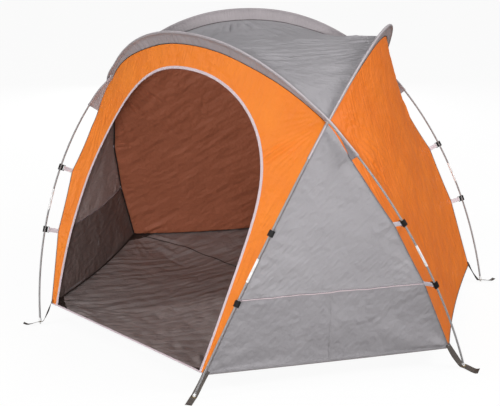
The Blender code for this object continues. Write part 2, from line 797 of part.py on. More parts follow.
def clip_mesh():
    """A pole clip: +X points from its bar to the pole, Z lies along the pole."""
    near = CLIP_BAR_OFFSET - POLE_RADIUS - CLIP_GAP
    far = CLIP_BAR_OFFSET + POLE_RADIUS + CLIP_GAP
    back = math.asin((POLE_RADIUS + CLIP_GAP) / CLIP_BAR_OFFSET)
    outside = math.asin((POLE_RADIUS + CLIP_GAP + CLIP_HOOK_WALL) / CLIP_BAR_OFFSET)
    mouth = -math.asin(CLIP_MOUTH_LENGTH / CLIP_BAR_OFFSET)
    hook = arc(near, mouth, back, HOOK_STEPS) + arc(far, back, mouth, HOOK_STEPS)
    hook += arc(far + CLIP_HOOK_WALL, mouth, outside, HOOK_STEPS)
    hook += arc(near - CLIP_HOOK_WALL, outside, mouth, HOOK_STEPS)
    half = CLIP_HOOK_WIDTH / 2
    slot = CLIP_SLOT_WIDTH / 2
    bridge_middle = CLIP_SLOT + CLIP_WALL / 2
    bar = circle(np.zeros(3), np.array((1, 0, 0)), np.array((0, 1, 0)), CLIP_BAR_RADIUS, POLE_SIDES)
    thick = CLIP_BAR_RADIUS
    meshes = [
        prism(hook, -half, half),
        block((bridge_middle, -thick, -half), (near - CLIP_HOOK_WALL / 2, thick, half)),
        block((CLIP_SLOT, -thick, -slot - CLIP_WALL), (CLIP_SLOT + CLIP_WALL, thick, slot + CLIP_WALL)),
        prism(bar[:, :2], -slot - CLIP_WALL / 2, slot + CLIP_WALL / 2),
    ]
    for side in (-1, 1):
        ends = sorted((side * slot, side * (slot + CLIP_WALL)))
        low = (-CLIP_CHEEK_HALF, -CLIP_CHEEK_HALF, ends[0])
        meshes.append(block(low, (bridge_middle, CLIP_CHEEK_HALF, ends[1])))
    return united("pole_clip", meshes)


def tab_mesh(offset):
    """A webbing tab round the clip's bar, with its tongue reaching back to the fabric."""
    inner = CLIP_BAR_RADIUS / math.cos(math.pi / POLE_SIDES) + TAB_GAP
    outer = inner + TAB_WEBBING
    tongue = offset - CLIP_BAR_OFFSET - TAB_END_GAP
    side, other = np.array((1, 0, 0)), np.array((0, 1, 0))
    outlines = [circle(np.zeros(3), side, other, radius, ROUND_SIDES) for radius in (inner, outer)]
    half = TAB_WIDTH / 2
    points, faces = [], []
    for z in (-half, half):
        for outline in outlines:
            points.extend((x, y, z) for x, y, _ in outline)
        points.extend((-tongue, y * TAB_WEBBING, z) for y in (1, -1))
    layer = 2 * ROUND_SIDES + 2
    split = ROUND_SIDES // 2 - 1
    for k in range(ROUND_SIDES):
        after = (k + 1) % ROUND_SIDES
        flat = (k, after, ROUND_SIDES + after, ROUND_SIDES + k)
        faces.extend((flat, tuple(p + layer for p in flat)))
        faces.append((k, after, after + layer, k + layer))
        if k != split:
            here, there = ROUND_SIDES + k, ROUND_SIDES + after
            faces.append((here, there, there + layer, here + layer))
    upper, lower = ROUND_SIDES + split, ROUND_SIDES + split + 1
    tip_upper, tip_lower = 2 * ROUND_SIDES, 2 * ROUND_SIDES + 1
    flat = (upper, lower, tip_lower, tip_upper)
    faces.extend((flat, tuple(p + layer for p in flat)))
    for a, b in ((upper, tip_upper), (tip_upper, tip_lower), (tip_lower, lower)):
        faces.append((a, b, b + layer, a + layer))
    return mesh_from("clip_tab", points, faces)


def axes_matrix(origin, x_axis, y_axis, z_axis):
    matrix = Matrix.Identity(4)
    for column, axis in enumerate((x_axis, y_axis, z_axis, origin)):
        for row in range(3):
            matrix[row][column] = float(axis[row])
    return matrix


def add_clips():
    """A clip and its tab at each of the two ties of every leg, hinged on the clip's bar."""
    clip = clip_mesh()
    heights = (("lower", LOWER_TAB_ALONG, LOWER_TAB_OFFSET), ("upper", UPPER_TAB_ALONG, UPPER_TAB_OFFSET))
    for height, along, offset in heights:
        tab = tab_mesh(offset)
        for arch in ARCHES:
            for foot, place in zip(arch["feet"], (along, ARCH.length - along)):
                centre, direction, towards, across = section_frame(place, arch["lifts"])
                bar = centre + CLIP_BAR_OFFSET * towards
                axes = [turn(axis, arch["turn"]) for axis in (bar, -towards, -across, direction)]
                matrix = axes_matrix(*axes)
                add_object(f"pole_clip_{foot}_{height}", clip, MATERIALS["clip"], matrix)
                add_object(f"clip_tab_{foot}_{height}", tab, MATERIALS["webbing"], matrix)


def strap_path():
    """The strap's middle line beside the foot: inwards, then up the leaning plane."""
    start = np.array((CORNER_OFFSET, CORNER_ALONG))
    flat = EYELET_RADIUS + FIT_GAP
    inner_edge = np.array((flat, EYELET_ALONG))
    inwards = unit(start - inner_edge)
    route = [
        start + STRAP_START * inwards,
        (start + inner_edge) / 2 - STRAP_SLACK * np.array((-inwards[1], inwards[0])),
        inner_edge,
        np.array((-flat, EYELET_ALONG)),
        np.array((-(flat + STRAP_TAIL) / 2, STRAP_TAIL_HEIGHT)),
        np.array((-(flat + 3 * STRAP_TAIL) / 4, STRAP_TAIL_HEIGHT)),
        np.array((-STRAP_TAIL, STRAP_TAIL_HEIGHT + STRAP_TAIL_CURL)),
    ]
    return route


def curve_through(route, steps):
    """A smooth curve through the route's points, straight over its third stretch."""
    points = []
    for k in range(len(route) - 1):
        before, start = route[max(k - 1, 0)], route[k]
        end, after = route[k + 1], route[min(k + 2, len(route) - 1)]
        if k == STRAP_FLAT_STRETCH:
            points.append(start)
            continue
        for step in range(steps):
            t = step / steps
            leave = (end - before) / 2 if k != STRAP_FLAT_STRETCH + 1 else start - before
            arrive = (after - start) / 2 if k != STRAP_FLAT_STRETCH - 1 else after - end
            square, cube = t * t, t * t * t
            points.append((2 * cube - 3 * square + 1) * start + (cube - 2 * square + t) * leave
                          + (3 * square - 2 * cube) * end + (cube - square) * arrive)
    points.append(route[-1])
    return points


def strap_mesh():
    line = curve_through(strap_path(), STRAP_STEPS)
    sections = []
    for k, point in enumerate(line):
        direction = unit(line[min(k + 1, len(line) - 1)] - line[max(k - 1, 0)])
        normal = np.array((-direction[1], direction[0])) * STRAP_THICKNESS / 2
        outline = ((point + normal, -1), (point + normal, 1), (point - normal, 1), (point - normal, -1))
        sections.append(np.array([(x, side * STRAP_WIDTH / 2, z) for (x, z), side in outline]))
    mesh = mesh_from("corner_strap", *sweep(sections))
    strap = bpy.data.objects.new("strap", mesh)
    bpy.context.collection.objects.link(strap)
    hole_radius = EYELET_BORE_RADIUS + EYELET_BARREL + FIT_GAP
    hole = circle(np.zeros(3), np.array((1, 0, 0)), np.array((0, 1, 0)), hole_radius, ROUND_SIDES)
    low, high = EYELET_ALONG - OVERRUN, EYELET_ALONG + OVERRUN
    cutter = bpy.data.objects.new("cutter", prism(hole[:, :2], low, high))
    bpy.context.collection.objects.link(cutter)
    cut = strap.modifiers.new("hole", "BOOLEAN")
    cut.operation = "DIFFERENCE"
    cut.object = cutter
    result = baked(strap, "corner_strap")
    bpy.data.objects.remove(strap)
    bpy.data.objects.remove(cutter)
    return result


def eyelet_mesh():
    """A brass eyelet as a turned ring, gripping the strap above and below."""
    half = STRAP_THICKNESS / 2 + FIT_GAP
    barrel = EYELET_BORE_RADIUS + EYELET_BARREL
    profile = (
        (EYELET_BORE_RADIUS, -half - EYELET_FLANGE), (EYELET_RADIUS, -half - EYELET_FLANGE),
        (EYELET_RADIUS, -half), (barrel, -half), (barrel, half), (EYELET_RADIUS, half),
        (EYELET_RADIUS, half + EYELET_FLANGE), (EYELET_BORE_RADIUS, half + EYELET_FLANGE),
    )
    sections = []
    for k in range(ROUND_SIDES):
        angle = 2 * math.pi * (k + 0.5) / ROUND_SIDES
        sections.append(np.array([
            (radius * math.cos(angle), radius * math.sin(angle), EYELET_ALONG + height)
            for radius, height in profile
        ]))
    return mesh_from("eyelet", *sweep(sections, capped=False))


def add_feet():
    strap, eyelet = strap_mesh(), eyelet_mesh()
    for arch in ARCHES:
        for foot, inwards in zip(arch["feet"], ((1, 0, 0), (-1, 0, 0))):
            place = RIGHT_FOOT * MIRROR_X if inwards[0] > 0 else RIGHT_FOOT
            side = np.cross(LEAN, inwards)
            axes = [turn(axis, arch["turn"]) for axis in (place, inwards, side, LEAN)]
            matrix = axes_matrix(*axes)
            add_object(f"corner_strap_{foot}", strap, MATERIALS["strap"], matrix)
            add_object(f"eyelet_{foot}", eyelet, MATERIALS["brass"], matrix, round_piece=True)


ARCHES = (
    {"name": "front", "turn": 0, "lifts": (1, 1), "feet": ("side_left", "side_right")},
    {"name": "right", "turn": 1, "lifts": (-1, 1), "feet": ("front_right", "rear_left")},
    {"name": "left", "turn": 2, "lifts": (-1, -1), "feet": ("rear_right", "front_left")},
)

for leftover in list(bpy.data.objects):
    bpy.data.objects.remove(leftover)
PLAN = bpy.data.objects.new("plan", None)
bpy.context.collection.objects.link(PLAN)
PLAN.location = (0, PLAN_CENTRE_Y, 0)
MATERIALS = {
    "orange": new_material("orange_fabric", (0.86, 0.20, 0.03), 0.6),
    "grey": new_material("grey_fabric", (0.35, 0.35, 0.36), 0.65),
    "sleeve": new_material("sleeve_fabric", (0.30, 0.28, 0.28), 0.6),
    "floor": new_material("floor_fabric", (0.16, 0.13, 0.12), 0.5),
    "pole": new_material("pole_fibreglass", (0.20, 0.20, 0.20), 0.35),
    "piping": new_material("piping_tape", (0.60, 0.52, 0.50), 0.6),
    "clip": new_material("black_plastic", (0.01, 0.01, 0.01), 0.4),
    "webbing": new_material("pale_webbing", (0.45, 0.45, 0.46), 0.8),
    "strap": new_material("dark_webbing", (0.12, 0.12, 0.11), 0.8),
    "brass": new_material("eyelet_brass", (0.55, 0.40, 0.16), 0.3, 1),
}
add_poles()
add_sleeves()
add_orange_panels()
add_grey_panels()
add_roof()
add_floor()
add_clips()
add_feet()
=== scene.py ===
# %% [markdown]
# # A beach tent on three crossing poles
#
# The real tent is a small shelter for a beach or a garden. Three long rods are bent
# into arches, and each pair of arches crosses once, so that the plan is a hexagon.
# Orange and grey cloth is pulled tight between the rods: grey sleeves hold it along
# the crest, black clips hold it lower down, and straps tie its corners to the rod ends.
#
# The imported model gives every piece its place. This script gives the pieces their
# looks: fine cloth with creases and seams, webbing, rods and metal. Lengths are in
# metres, +Z is up and the door faces -Y.

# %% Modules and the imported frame
import json
import math

import bmesh
import bpy
import numpy as np
from mathutils import Matrix, Vector
from mathutils.bvhtree import BVHTree

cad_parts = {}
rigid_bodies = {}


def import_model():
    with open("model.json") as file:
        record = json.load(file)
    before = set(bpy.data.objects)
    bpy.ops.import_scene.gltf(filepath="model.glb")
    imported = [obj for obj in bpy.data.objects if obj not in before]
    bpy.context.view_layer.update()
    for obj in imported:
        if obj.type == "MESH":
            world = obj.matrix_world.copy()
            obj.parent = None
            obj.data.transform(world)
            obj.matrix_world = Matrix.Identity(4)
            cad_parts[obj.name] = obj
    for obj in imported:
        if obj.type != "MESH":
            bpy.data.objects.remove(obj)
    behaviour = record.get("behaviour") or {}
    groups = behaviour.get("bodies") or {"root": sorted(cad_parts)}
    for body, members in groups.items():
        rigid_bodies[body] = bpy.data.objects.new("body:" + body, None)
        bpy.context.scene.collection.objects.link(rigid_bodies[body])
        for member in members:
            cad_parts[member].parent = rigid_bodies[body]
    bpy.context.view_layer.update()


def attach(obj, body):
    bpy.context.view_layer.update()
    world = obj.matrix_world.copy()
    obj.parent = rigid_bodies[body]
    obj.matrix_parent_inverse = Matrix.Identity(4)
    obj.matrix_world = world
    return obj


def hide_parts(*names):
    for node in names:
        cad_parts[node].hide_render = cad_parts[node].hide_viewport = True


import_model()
SHELL_BODY = "tent"

# %% [markdown]
# ## Camera
#
# The photograph looks down a little from the door's right-hand side. The camera's
# place, its three angles and its focal length come from fitting the arches to the
# photograph, so the rods land on the rods in the picture.

# %% Camera
CAMERA_PLACE = Vector((3.4394, -3.5575, 1.9918))
CAMERA_YAW = -0.7864
CAMERA_PITCH = 0.2941
CAMERA_ROLL = 0.0055
PHOTO_WIDTH_PIXELS = 500
FOCAL_PIXELS = 1095.25
SENSOR_MM = 36

ahead = Vector((
    math.sin(CAMERA_YAW) * math.cos(CAMERA_PITCH),
    math.cos(CAMERA_YAW) * math.cos(CAMERA_PITCH),
    -math.sin(CAMERA_PITCH),
))
level = Vector((math.cos(CAMERA_YAW), -math.sin(CAMERA_YAW), 0))
above = level.cross(ahead)
side = level * math.cos(CAMERA_ROLL) + above * math.sin(CAMERA_ROLL)
above = above * math.cos(CAMERA_ROLL) - level * math.sin(CAMERA_ROLL)
camera_data = bpy.data.cameras.new("photo_camera")
camera_data.sensor_width = SENSOR_MM
camera_data.lens = FOCAL_PIXELS / PHOTO_WIDTH_PIXELS * SENSOR_MM
camera = bpy.data.objects.new("photo_camera", camera_data)
bpy.context.scene.collection.objects.link(camera)
turned = Matrix((side, above, -ahead)).transposed().to_4x4()
camera.matrix_world = Matrix.Translation(CAMERA_PLACE) @ turned
bpy.context.scene.camera = camera
print("lens", round(camera_data.lens, 2), "mm")

# %% [markdown]
# ## Building node trees
#
# Light, materials and Geometry Nodes are all trees of nodes. One helper adds a node,
# and gives each socket that is named either a value or a link.

# %% A helper for node trees
def node(tree, kind, sockets=(), **settings):
    """Add a node to a tree, with its settings, and a value or a link for each socket."""
    made = tree.nodes.new(kind)
    for name, value in settings.items():
        setattr(made, name, value)
    for name, value in dict(sockets).items():
        if isinstance(value, bpy.types.NodeSocket):
            tree.links.new(value, made.inputs[name])
        else:
            made.inputs[name].default_value = value
    return made


def shown_to_camera(tree, lighting, shown, output_kind):
    """End a tree with one shader for the camera's rays and another for all the rest."""
    seen = node(tree, "ShaderNodeLightPath").outputs["Is Camera Ray"]
    blend = node(tree, "ShaderNodeMixShader", {"Fac": seen, 1: lighting, 2: shown})
    node(tree, output_kind, {"Surface": blend.outputs["Shader"]})


# %% [markdown]
# ## Light and floor
#
# Soft light comes from all round. One lamp stands to the left and one to the right, and
# both meet the cloth at a slant, which is what shows its creases. A third, just below
# the camera, reaches in through the door, and a fourth, low behind the tent, lights
# the sides that the photograph doesn't show. The sky is only a little brighter
# overhead, because the roof in the photograph is darker than the walls of the same
# cloth. To the camera the background is white. The floor shows white too, but keeps
# the tent's shadow.

# %% Light and floor
SKY_TOP = 0.40
SKY_HORIZON = 0.26
LAMPS = (
    {"name": "left_lamp", "place": (-2.8, -5.2, 3.0), "size": 0.8, "watts": 120},
    {"name": "right_lamp", "place": (4.0, 2.1, 3.8), "size": 1.8, "watts": 134},
    {"name": "door_lamp", "place": (3.6, -4.1, 1.85), "size": 0.6, "watts": 148},
    {"name": "back_lamp", "place": (-4.2, 3.6, 1.3), "size": 1.2, "watts": 130},
)
LAMP_TARGET = Vector((0, 0, 0.6))
FLOOR_SIZE = 60
FLOOR_GREY = (0.24, 0.23, 0.22, 1)
FLOOR_WHITE_SHARE = 0.93
WHITE = (1, 1, 1, 1)

scene = bpy.context.scene
scene.view_settings.view_transform = "Standard"
world = bpy.data.worlds.new("studio")
world.use_nodes = True
scene.world = world
tree = world.node_tree
tree.nodes.clear()
heading = node(tree, "ShaderNodeTexCoord").outputs["Generated"]
rise = node(tree, "ShaderNodeSeparateXYZ", {"Vector": heading}).outputs["Z"]
height = node(tree, "ShaderNodeMapRange", {"Value": rise, "To Min": SKY_HORIZON, "To Max": SKY_TOP})
sky = node(tree, "ShaderNodeBackground", {"Color": WHITE, "Strength": height.outputs["Result"]})
white = node(tree, "ShaderNodeBackground", {"Color": WHITE})
shown_to_camera(tree, sky.outputs["Background"], white.outputs["Background"], "ShaderNodeOutputWorld")

for setting in LAMPS:
    lamp_data = bpy.data.lights.new(setting["name"], "AREA")
    lamp_data.energy = setting["watts"]
    lamp_data.size = setting["size"]
    lamp = bpy.data.objects.new(setting["name"], lamp_data)
    scene.collection.objects.link(lamp)
    lamp.location = setting["place"]
    lamp.rotation_euler = (LAMP_TARGET - lamp.location).to_track_quat("-Z", "Y").to_euler()

floor_material = bpy.data.materials.new("pale_floor")
floor_material.use_nodes = True
tree = floor_material.node_tree
tree.nodes.clear()
matt = node(tree, "ShaderNodeBsdfDiffuse", {"Color": FLOOR_GREY}).outputs["BSDF"]
pale = node(tree, "ShaderNodeBsdfDiffuse", {"Color": WHITE}).outputs["BSDF"]
glow = node(tree, "ShaderNodeEmission", {"Color": WHITE}).outputs["Emission"]
shown = node(tree, "ShaderNodeMixShader", {"Fac": FLOOR_WHITE_SHARE, 1: pale, 2: glow}).outputs["Shader"]
shown_to_camera(tree, matt, shown, "ShaderNodeOutputMaterial")
floor_mesh = bpy.data.meshes.new("studio_floor")
half = FLOOR_SIZE / 2
floor_corners = ((-half, -half, 0), (half, -half, 0), (half, half, 0), (-half, half, 0))
floor_mesh.from_pydata(floor_corners, [], [(0, 1, 2, 3)])
floor_mesh.materials.append(floor_material)
studio_floor = bpy.data.objects.new("studio_floor", floor_mesh)
scene.collection.objects.link(studio_floor)
print("lamps", len(LAMPS))

# %% [markdown]
# ## Materials
#
# Every finish is a Principled shader whose colour, roughness and bump come from
# nodes. The cloth is a plain weave of polyester thread. From a step away a viewer
# sees three things in it: a soft mottle where the light catches it, fine crinkles
# left from the carrying bag, and the thread itself close up. The patterns read the
# piece's own UV map, which is in metres along the cloth, so that the weave follows
# the sheet wherever it goes.

# %% Helpers for material nodes
MIX_FACTOR, MIX_A, MIX_B, MIX_RESULT = 0, 6, 7, 2  # the sockets for colours on a Mix node
PLAIN_GLOSS = 0.5


def linear(red, green, blue):
    """A colour given on the 0 to 255 scale, as the shader wants it."""
    shares = (channel / 255 for channel in (red, green, blue))
    return (*(s / 12.92 if s <= 0.04045 else ((s + 0.055) / 1.055) ** 2.4 for s in shares), 1)


def new_material(name):
    material = bpy.data.materials.new(name)
    material.use_nodes = True
    return material, material.node_tree


def place_source(tree, scale=(1, 1, 1), kind="UV"):
    """The piece's UV map or object place, stretched by a Mapping node."""
    place = node(tree, "ShaderNodeTexCoord").outputs[kind]
    return node(tree, "ShaderNodeMapping", {"Vector": place, "Scale": scale}).outputs["Vector"]


def turned_place(tree, place, angle, scales):
    """A place turned by an angle, then stretched."""
    turned = node(tree, "ShaderNodeMapping", {"Vector": place, "Rotation": (0, 0, angle)}).outputs["Vector"]
    return node(tree, "ShaderNodeMapping", {"Vector": turned, "Scale": scales}).outputs["Vector"]


def noise(tree, place, scale, detail, roughness=0.5):
    sockets = {"Vector": place, "Scale": scale, "Detail": detail, "Roughness": roughness}
    return node(tree, "ShaderNodeTexNoise", sockets).outputs["Fac"]


def bands(tree, place, pitch, direction):
    """Soft stripes, one to each pitch."""
    sockets = {"Vector": place, "Scale": WAVE_TURN / pitch}
    return node(tree, "ShaderNodeTexWave", sockets, bands_direction=direction).outputs["Fac"]


def reckoned(tree, operation, a, b):
    return node(tree, "ShaderNodeMath", {0: a, 1: b}, operation=operation).outputs["Value"]


def ranged(tree, value, low, high):
    """A 0 to 1 value spread over another range."""
    sockets = {"Value": value, "To Min": low, "To Max": high}
    return node(tree, "ShaderNodeMapRange", sockets).outputs["Result"]


def mixed_colour(tree, share, low, high):
    """Blend two colours; each is a triple on the 0 to 255 scale, or a socket."""
    low, high = (linear(*colour) if isinstance(colour, tuple) else colour for colour in (low, high))
    sockets = {MIX_FACTOR: share, MIX_A: low, MIX_B: high}
    return node(tree, "ShaderNodeMix", sockets, data_type="RGBA").outputs[MIX_RESULT]


def finished(material, colour, roughness, pattern, spread, layers, metallic=0.0, gloss=PLAIN_GLOSS):
    """Wire up a material: its colour, a roughness that follows a pattern, and its bump.

    Spread is how far the roughness falls and rises. Each layer of bump is a height and
    its distance in metres.
    """
    tree = material.node_tree
    shader = tree.nodes["Principled BSDF"]
    constants = {"Roughness": roughness, "Metallic": metallic, "Specular IOR Level": gloss}
    for name, value in constants.items():
        shader.inputs[name].default_value = value
    worn = ranged(tree, pattern, roughness - spread[0], roughness + spread[1])
    before = {}
    for height, distance in layers:
        bump = node(tree, "ShaderNodeBump", {"Height": height, "Distance": distance, **before})
        before = {"Normal": bump.outputs["Normal"]}
    for name, value in {"Base Color": colour, "Roughness": worn, **before}.items():
        tree.links.new(value, shader.inputs[name])
    return material


# %% Woven cloth
THREAD_PITCH = 0.0009
THREAD_DEPTH = 0.00006
THREAD_SHADE = 0.06  # how much the threads change the colour
CLOTH_GLOSS = 0.3
CLOTH_WEAR = (0.08, 0.08)
MOTTLE = (5.0, 3.0)  # each noise is a scale, a detail and sometimes a roughness
FOLDS = (16.0, 4.0, 0.55)
MARKS = (1.0, 1.2, 0.4)
WAVE_TURN = 2 * math.pi / 20  # a wave texture repeats this often for each unit of scale


def woven(tree, place):
    """The height of a plain weave: threads one way and the other."""
    return reckoned(tree, "ADD", bands(tree, place, THREAD_PITCH, "X"), bands(tree, place, THREAD_PITCH, "Y"))


def cloth_material(name, low, high, roughness, crinkle, marks, gloss=CLOTH_GLOSS):
    """Plain weave: colour between two shades, threads, bag crinkles and fine drawn marks.

    Crinkle is a depth in metres. Marks have a depth, a turn in degrees and a scale each
    way: they are narrow one way and long the other.
    """
    material, tree = new_material(name)
    place = place_source(tree)
    mottle = noise(tree, place, *MOTTLE)
    weave = woven(tree, place)
    shade = reckoned(tree, "ADD", mottle, ranged(tree, weave, -THREAD_SHADE, THREAD_SHADE))
    folds = noise(tree, place, *FOLDS)
    depth, turned, scales = marks
    drawn = noise(tree, turned_place(tree, place, math.radians(turned), scales), *MARKS)
    layers = ((folds, crinkle), (drawn, depth), (weave, THREAD_DEPTH))
    colour = mixed_colour(tree, shade, low, high)
    return finished(material, colour, roughness, mottle, CLOTH_WEAR, layers, gloss=gloss)


ORANGE = cloth_material("orange_cloth", (230, 116, 22), (248, 140, 42), 0.5, 0.008, (0.0034, 8, (120, 8, 1)))
# The rear panels take a darker copy of the door's orange cloth: painted shade.
ORANGE_REAR_SHADED = cloth_material(
    "orange_cloth_rear", (226, 108, 20), (244, 131, 36), 0.5, 0.010, (0.0052, 6, (90, 7, 1))
)
# Painted light: the orange inside is lighter and browner, as if lit through the cloth.
ORANGE_INSIDE_PAINTED_LIGHT = cloth_material(
    "orange_cloth_inside", (170, 98, 70), (192, 116, 86), 0.5, 0.013, (0.011, -58, (22, 5, 1)), 0.45
)
GREY = cloth_material(
    "grey_cloth", (157, 154, 158), (175, 172, 176), 0.64, 0.009, (0.0034, 50, (80, 20, 1)), 0.2
)
SPLASH = cloth_material(
    "splash_wall_cloth", (148, 145, 149), (166, 163, 167), 0.5, 0.011, (0.0024, 40, (70, 14, 1))
)
# Painted light: the upper grey inside is made lighter, as if lit through the cloth.
GREY_INSIDE_PAINTED_LIGHT = cloth_material(
    "grey_cloth_inside", (180, 162, 158), (198, 180, 176), 0.6, 0.010, (0.004, 80, (60, 9, 1))
)
# Painted shade: the lower grey inside is made darker than the upper, near the floor.
SPLASH_INSIDE_PAINTED_SHADE = cloth_material(
    "splash_wall_inside", (112, 96, 92), (136, 120, 116), 0.55, 0.010, (0.006, 100, (50, 6, 1))
)
FLOOR_CLOTH = cloth_material(
    "floor_cloth", (142, 131, 130), (170, 159, 157), 0.4, 0.008, (0.014, 8, (30, 4, 1)), 0.55
)
FLOOR_UNDERSIDE = cloth_material(
    "floor_underside", (116, 112, 112), (130, 126, 126), 0.5, 0.008, (0.0026, 50, (70, 16, 1))
)
print("materials so far", len(bpy.data.materials))

# %% [markdown]
# The sleeves are a lighter, stiffer cloth. Where the rod presses it outwards, a pale
# line of painted highlight runs along every sleeve. Short wrinkles run down from it,
# because the seam draws the cloth in along the pole. A point attribute, 1 on the rod
# and 0 beside it, carries the painted highlight to the shader.

# %% Sleeve cloth, tapes and webbing
RIB_PITCH = 0.0016
RIB_DEPTH = 0.0003
DUST = (60.0, 3.0)
KNIT_SHARE, DUST_SHARE = 0.6, 0.4
TAPE_ROUGHNESS, TAPE_WEAR = 0.75, (0.1, 0.1)
SLEEVE_MOTTLE = (9.0, 3.0)
SLEEVE_ROUGHNESS, SLEEVE_WEAR = 0.55, (0.05, 0.09)
WRINKLES = (60.0, 3.0, 0.6)
WRINKLE_STRETCH = (0.3, 1.5, 1)  # long across the sleeve and short along it
WRINKLE_DEPTH = 0.0060


def sleeve_material(name, low, high, highlight_colour):
    material, tree = new_material(name)
    place = place_source(tree)
    mottle = noise(tree, place, *SLEEVE_MOTTLE)
    ridge = node(tree, "ShaderNodeAttribute", attribute_name="ridge").outputs["Fac"]
    # The cloth's colour, blended towards a painted highlight along the rod.
    colour = mixed_colour(tree, ridge, mixed_colour(tree, mottle, low, high), highlight_colour)
    wrinkles = noise(tree, place_source(tree, WRINKLE_STRETCH), *WRINKLES)
    layers = ((wrinkles, WRINKLE_DEPTH), (woven(tree, place), THREAD_DEPTH))
    return finished(material, colour, SLEEVE_ROUGHNESS, mottle, SLEEVE_WEAR, layers)


def webbing_material(name, low, high):
    """Woven tape: ribs across it, cords along it and a little dust."""
    material, tree = new_material(name)
    place = place_source(tree)
    ribs, cords = bands(tree, place, RIB_PITCH, "Y"), bands(tree, place, 2 * RIB_PITCH, "X")
    knit = reckoned(tree, "MULTIPLY", ribs, cords)
    dust = noise(tree, place, *DUST)
    shade = reckoned(tree, "ADD", ranged(tree, knit, 0.0, KNIT_SHARE), ranged(tree, dust, 0.0, DUST_SHARE))
    colour = mixed_colour(tree, shade, low, high)
    return finished(material, colour, TAPE_ROUGHNESS, dust, TAPE_WEAR, ((knit, RIB_DEPTH),))


# The third colour is the painted highlight along the top of each sleeve.
SLEEVE = sleeve_material("sleeve_cloth", (150, 143, 146), (174, 166, 169), (202, 194, 198))
PALE_TAPE = webbing_material("pale_tape", (202, 184, 190), (232, 216, 222))
GREY_TAPE = webbing_material("grey_tape", (118, 112, 112), (146, 138, 138))
# Dark tape for hems and inner seams; the same colour also paints shadow lines and a fold's shade.
DARK_TAPE_AND_SHADE = webbing_material("dark_tape", (52, 42, 38), (74, 60, 54))
TAB_WEBBING_CLOTH = webbing_material("tab_webbing", (206, 196, 204), (236, 228, 234))
STRAP_WEBBING = webbing_material("strap_webbing", (62, 56, 52), (112, 104, 98))
print("materials so far", len(bpy.data.materials))

# %% [markdown]
# The rods are fibreglass, pulled through a die, so faint streaks run along them. Their
# joins are bright metal tubes, the clips moulded plastic and the eyelets pressed brass.

# %% Rods, metal, plastic and thread
PLASTIC_GLOSS = 0.28
STREAKS = (1.0, 4.0, 0.6)
STREAK_DEPTH = 0.00008
STREAK_WEAR = (0.1, 0.12)
GRAIN_DETAIL, STAIN_DETAIL = 3.0, 2.0
GRAIN_WEAR = (0.08, 0.1)
STAINS_TO_GRAIN = 12  # stains are this many times as wide as the grain


def streaked_material(name, low, high, roughness, metallic, stretch):
    """Fine streaks along the piece's own V direction."""
    material, tree = new_material(name)
    streaks = noise(tree, place_source(tree, stretch), *STREAKS)
    colour = mixed_colour(tree, streaks, low, high)
    layers = ((streaks, STREAK_DEPTH),)
    return finished(material, colour, roughness, streaks, STREAK_WEAR, layers, metallic)


def grained_material(name, low, high, roughness, metallic, scale, depth, gloss=PLAIN_GLOSS):
    """Even grain all over, read from the object's own place."""
    material, tree = new_material(name)
    place = place_source(tree, kind="Object")
    grain = noise(tree, place, scale, GRAIN_DETAIL)
    stains = noise(tree, place, scale / STAINS_TO_GRAIN, STAIN_DETAIL)
    colour = mixed_colour(tree, stains, low, high)
    return finished(material, colour, roughness, stains, GRAIN_WEAR, ((grain, depth),), metallic, gloss)


ROD = streaked_material("fibreglass_rod", (138, 136, 137), (168, 166, 167), 0.48, 0.0, (700, 3, 1))
FERRULE = streaked_material("ferrule_metal", (234, 234, 234), (250, 250, 250), 0.46, 0.1, (700, 6, 1))
PLASTIC = grained_material(
    "clip_plastic", (8, 8, 9), (16, 16, 17), 0.55, 0.0, 2600.0, 0.00005, PLASTIC_GLOSS
)
BRASS = grained_material("eyelet_brass", (180, 152, 96), (214, 190, 134), 0.32, 1.0, 900.0, 0.00003)
PALE_THREAD = grained_material("pale_thread", (190, 180, 182), (214, 206, 208), 0.7, 0.0, 3000.0, 0.00004)
GREY_THREAD = grained_material("grey_thread", (112, 108, 108), (140, 136, 136), 0.7, 0.0, 3000.0, 0.00004)
print("materials", len(bpy.data.materials))

# %% [markdown]
# ## The arches and the seam lines
#
# All cloth hangs on one curve: the front arch. It is a circle squared off a little
# and stretched between two feet, in a plane that leans outwards. The other two arches
# are the same curve turned by a third and two thirds of a turn. Each seam lies a few
# centimetres inside its rod: further where tabs tie it, closest where two rods cross.

# %% Sizes of the arches
ORANGE_SIDE = 1.040  # between the two feet of an orange side
GREY_SIDE = 1.165  # between the two feet of a grey side
ARCH_RISE = 1.447
ARCH_LEAN = math.radians(22.3)
ARCH_ALONG_SHARE = 0.927
ARCH_UP_SHARE = 1.053
TURNS = 3
POLE_SECTIONS = 7
POLE_LIFT = 0.0080  # half the distance between two rods where they cross
POLE_LIFT_REACH = 0.12
CORNER_ALONG = 0.095
CORNER_OFFSET = 0.056
LOWER_TAB_ALONG = 0.440
LOWER_TAB_OFFSET = 0.062
UPPER_TAB_ALONG = 0.740
UPPER_TAB_OFFSET = 0.058
SLEEVE_RUN_OUT = 0.178
SHOULDER_OFFSET = 0.060
CREST_OFFSET = 0.054
CROSSING_OFFSET = 0.018
CROSSING_REACH = 0.26
CREST_REACH = 0.50
EDGE_SCALLOP = 0.008
FLOOR_EDGE_DRAW = 0.020
FLOOR_EDGE_DROP = 0.012
STRAP_TAIL_HEIGHT = 0.0072
STRAP_TAIL_CURL = 0.008
ARCH_SAMPLES = 4001

APOTHEM = (ORANGE_SIDE + 2 * GREY_SIDE) / (2 * math.sqrt(3))
MIRROR_X = np.array((-1, 1, 1))
UP = np.array((0, 0, 1))
LEAN = np.array((0, -math.sin(ARCH_LEAN), math.cos(ARCH_LEAN)))
ARCH_NORMAL = np.cross((1, 0, 0), LEAN)
CROSSING_PLANE = math.pi / 2 - math.pi / TURNS


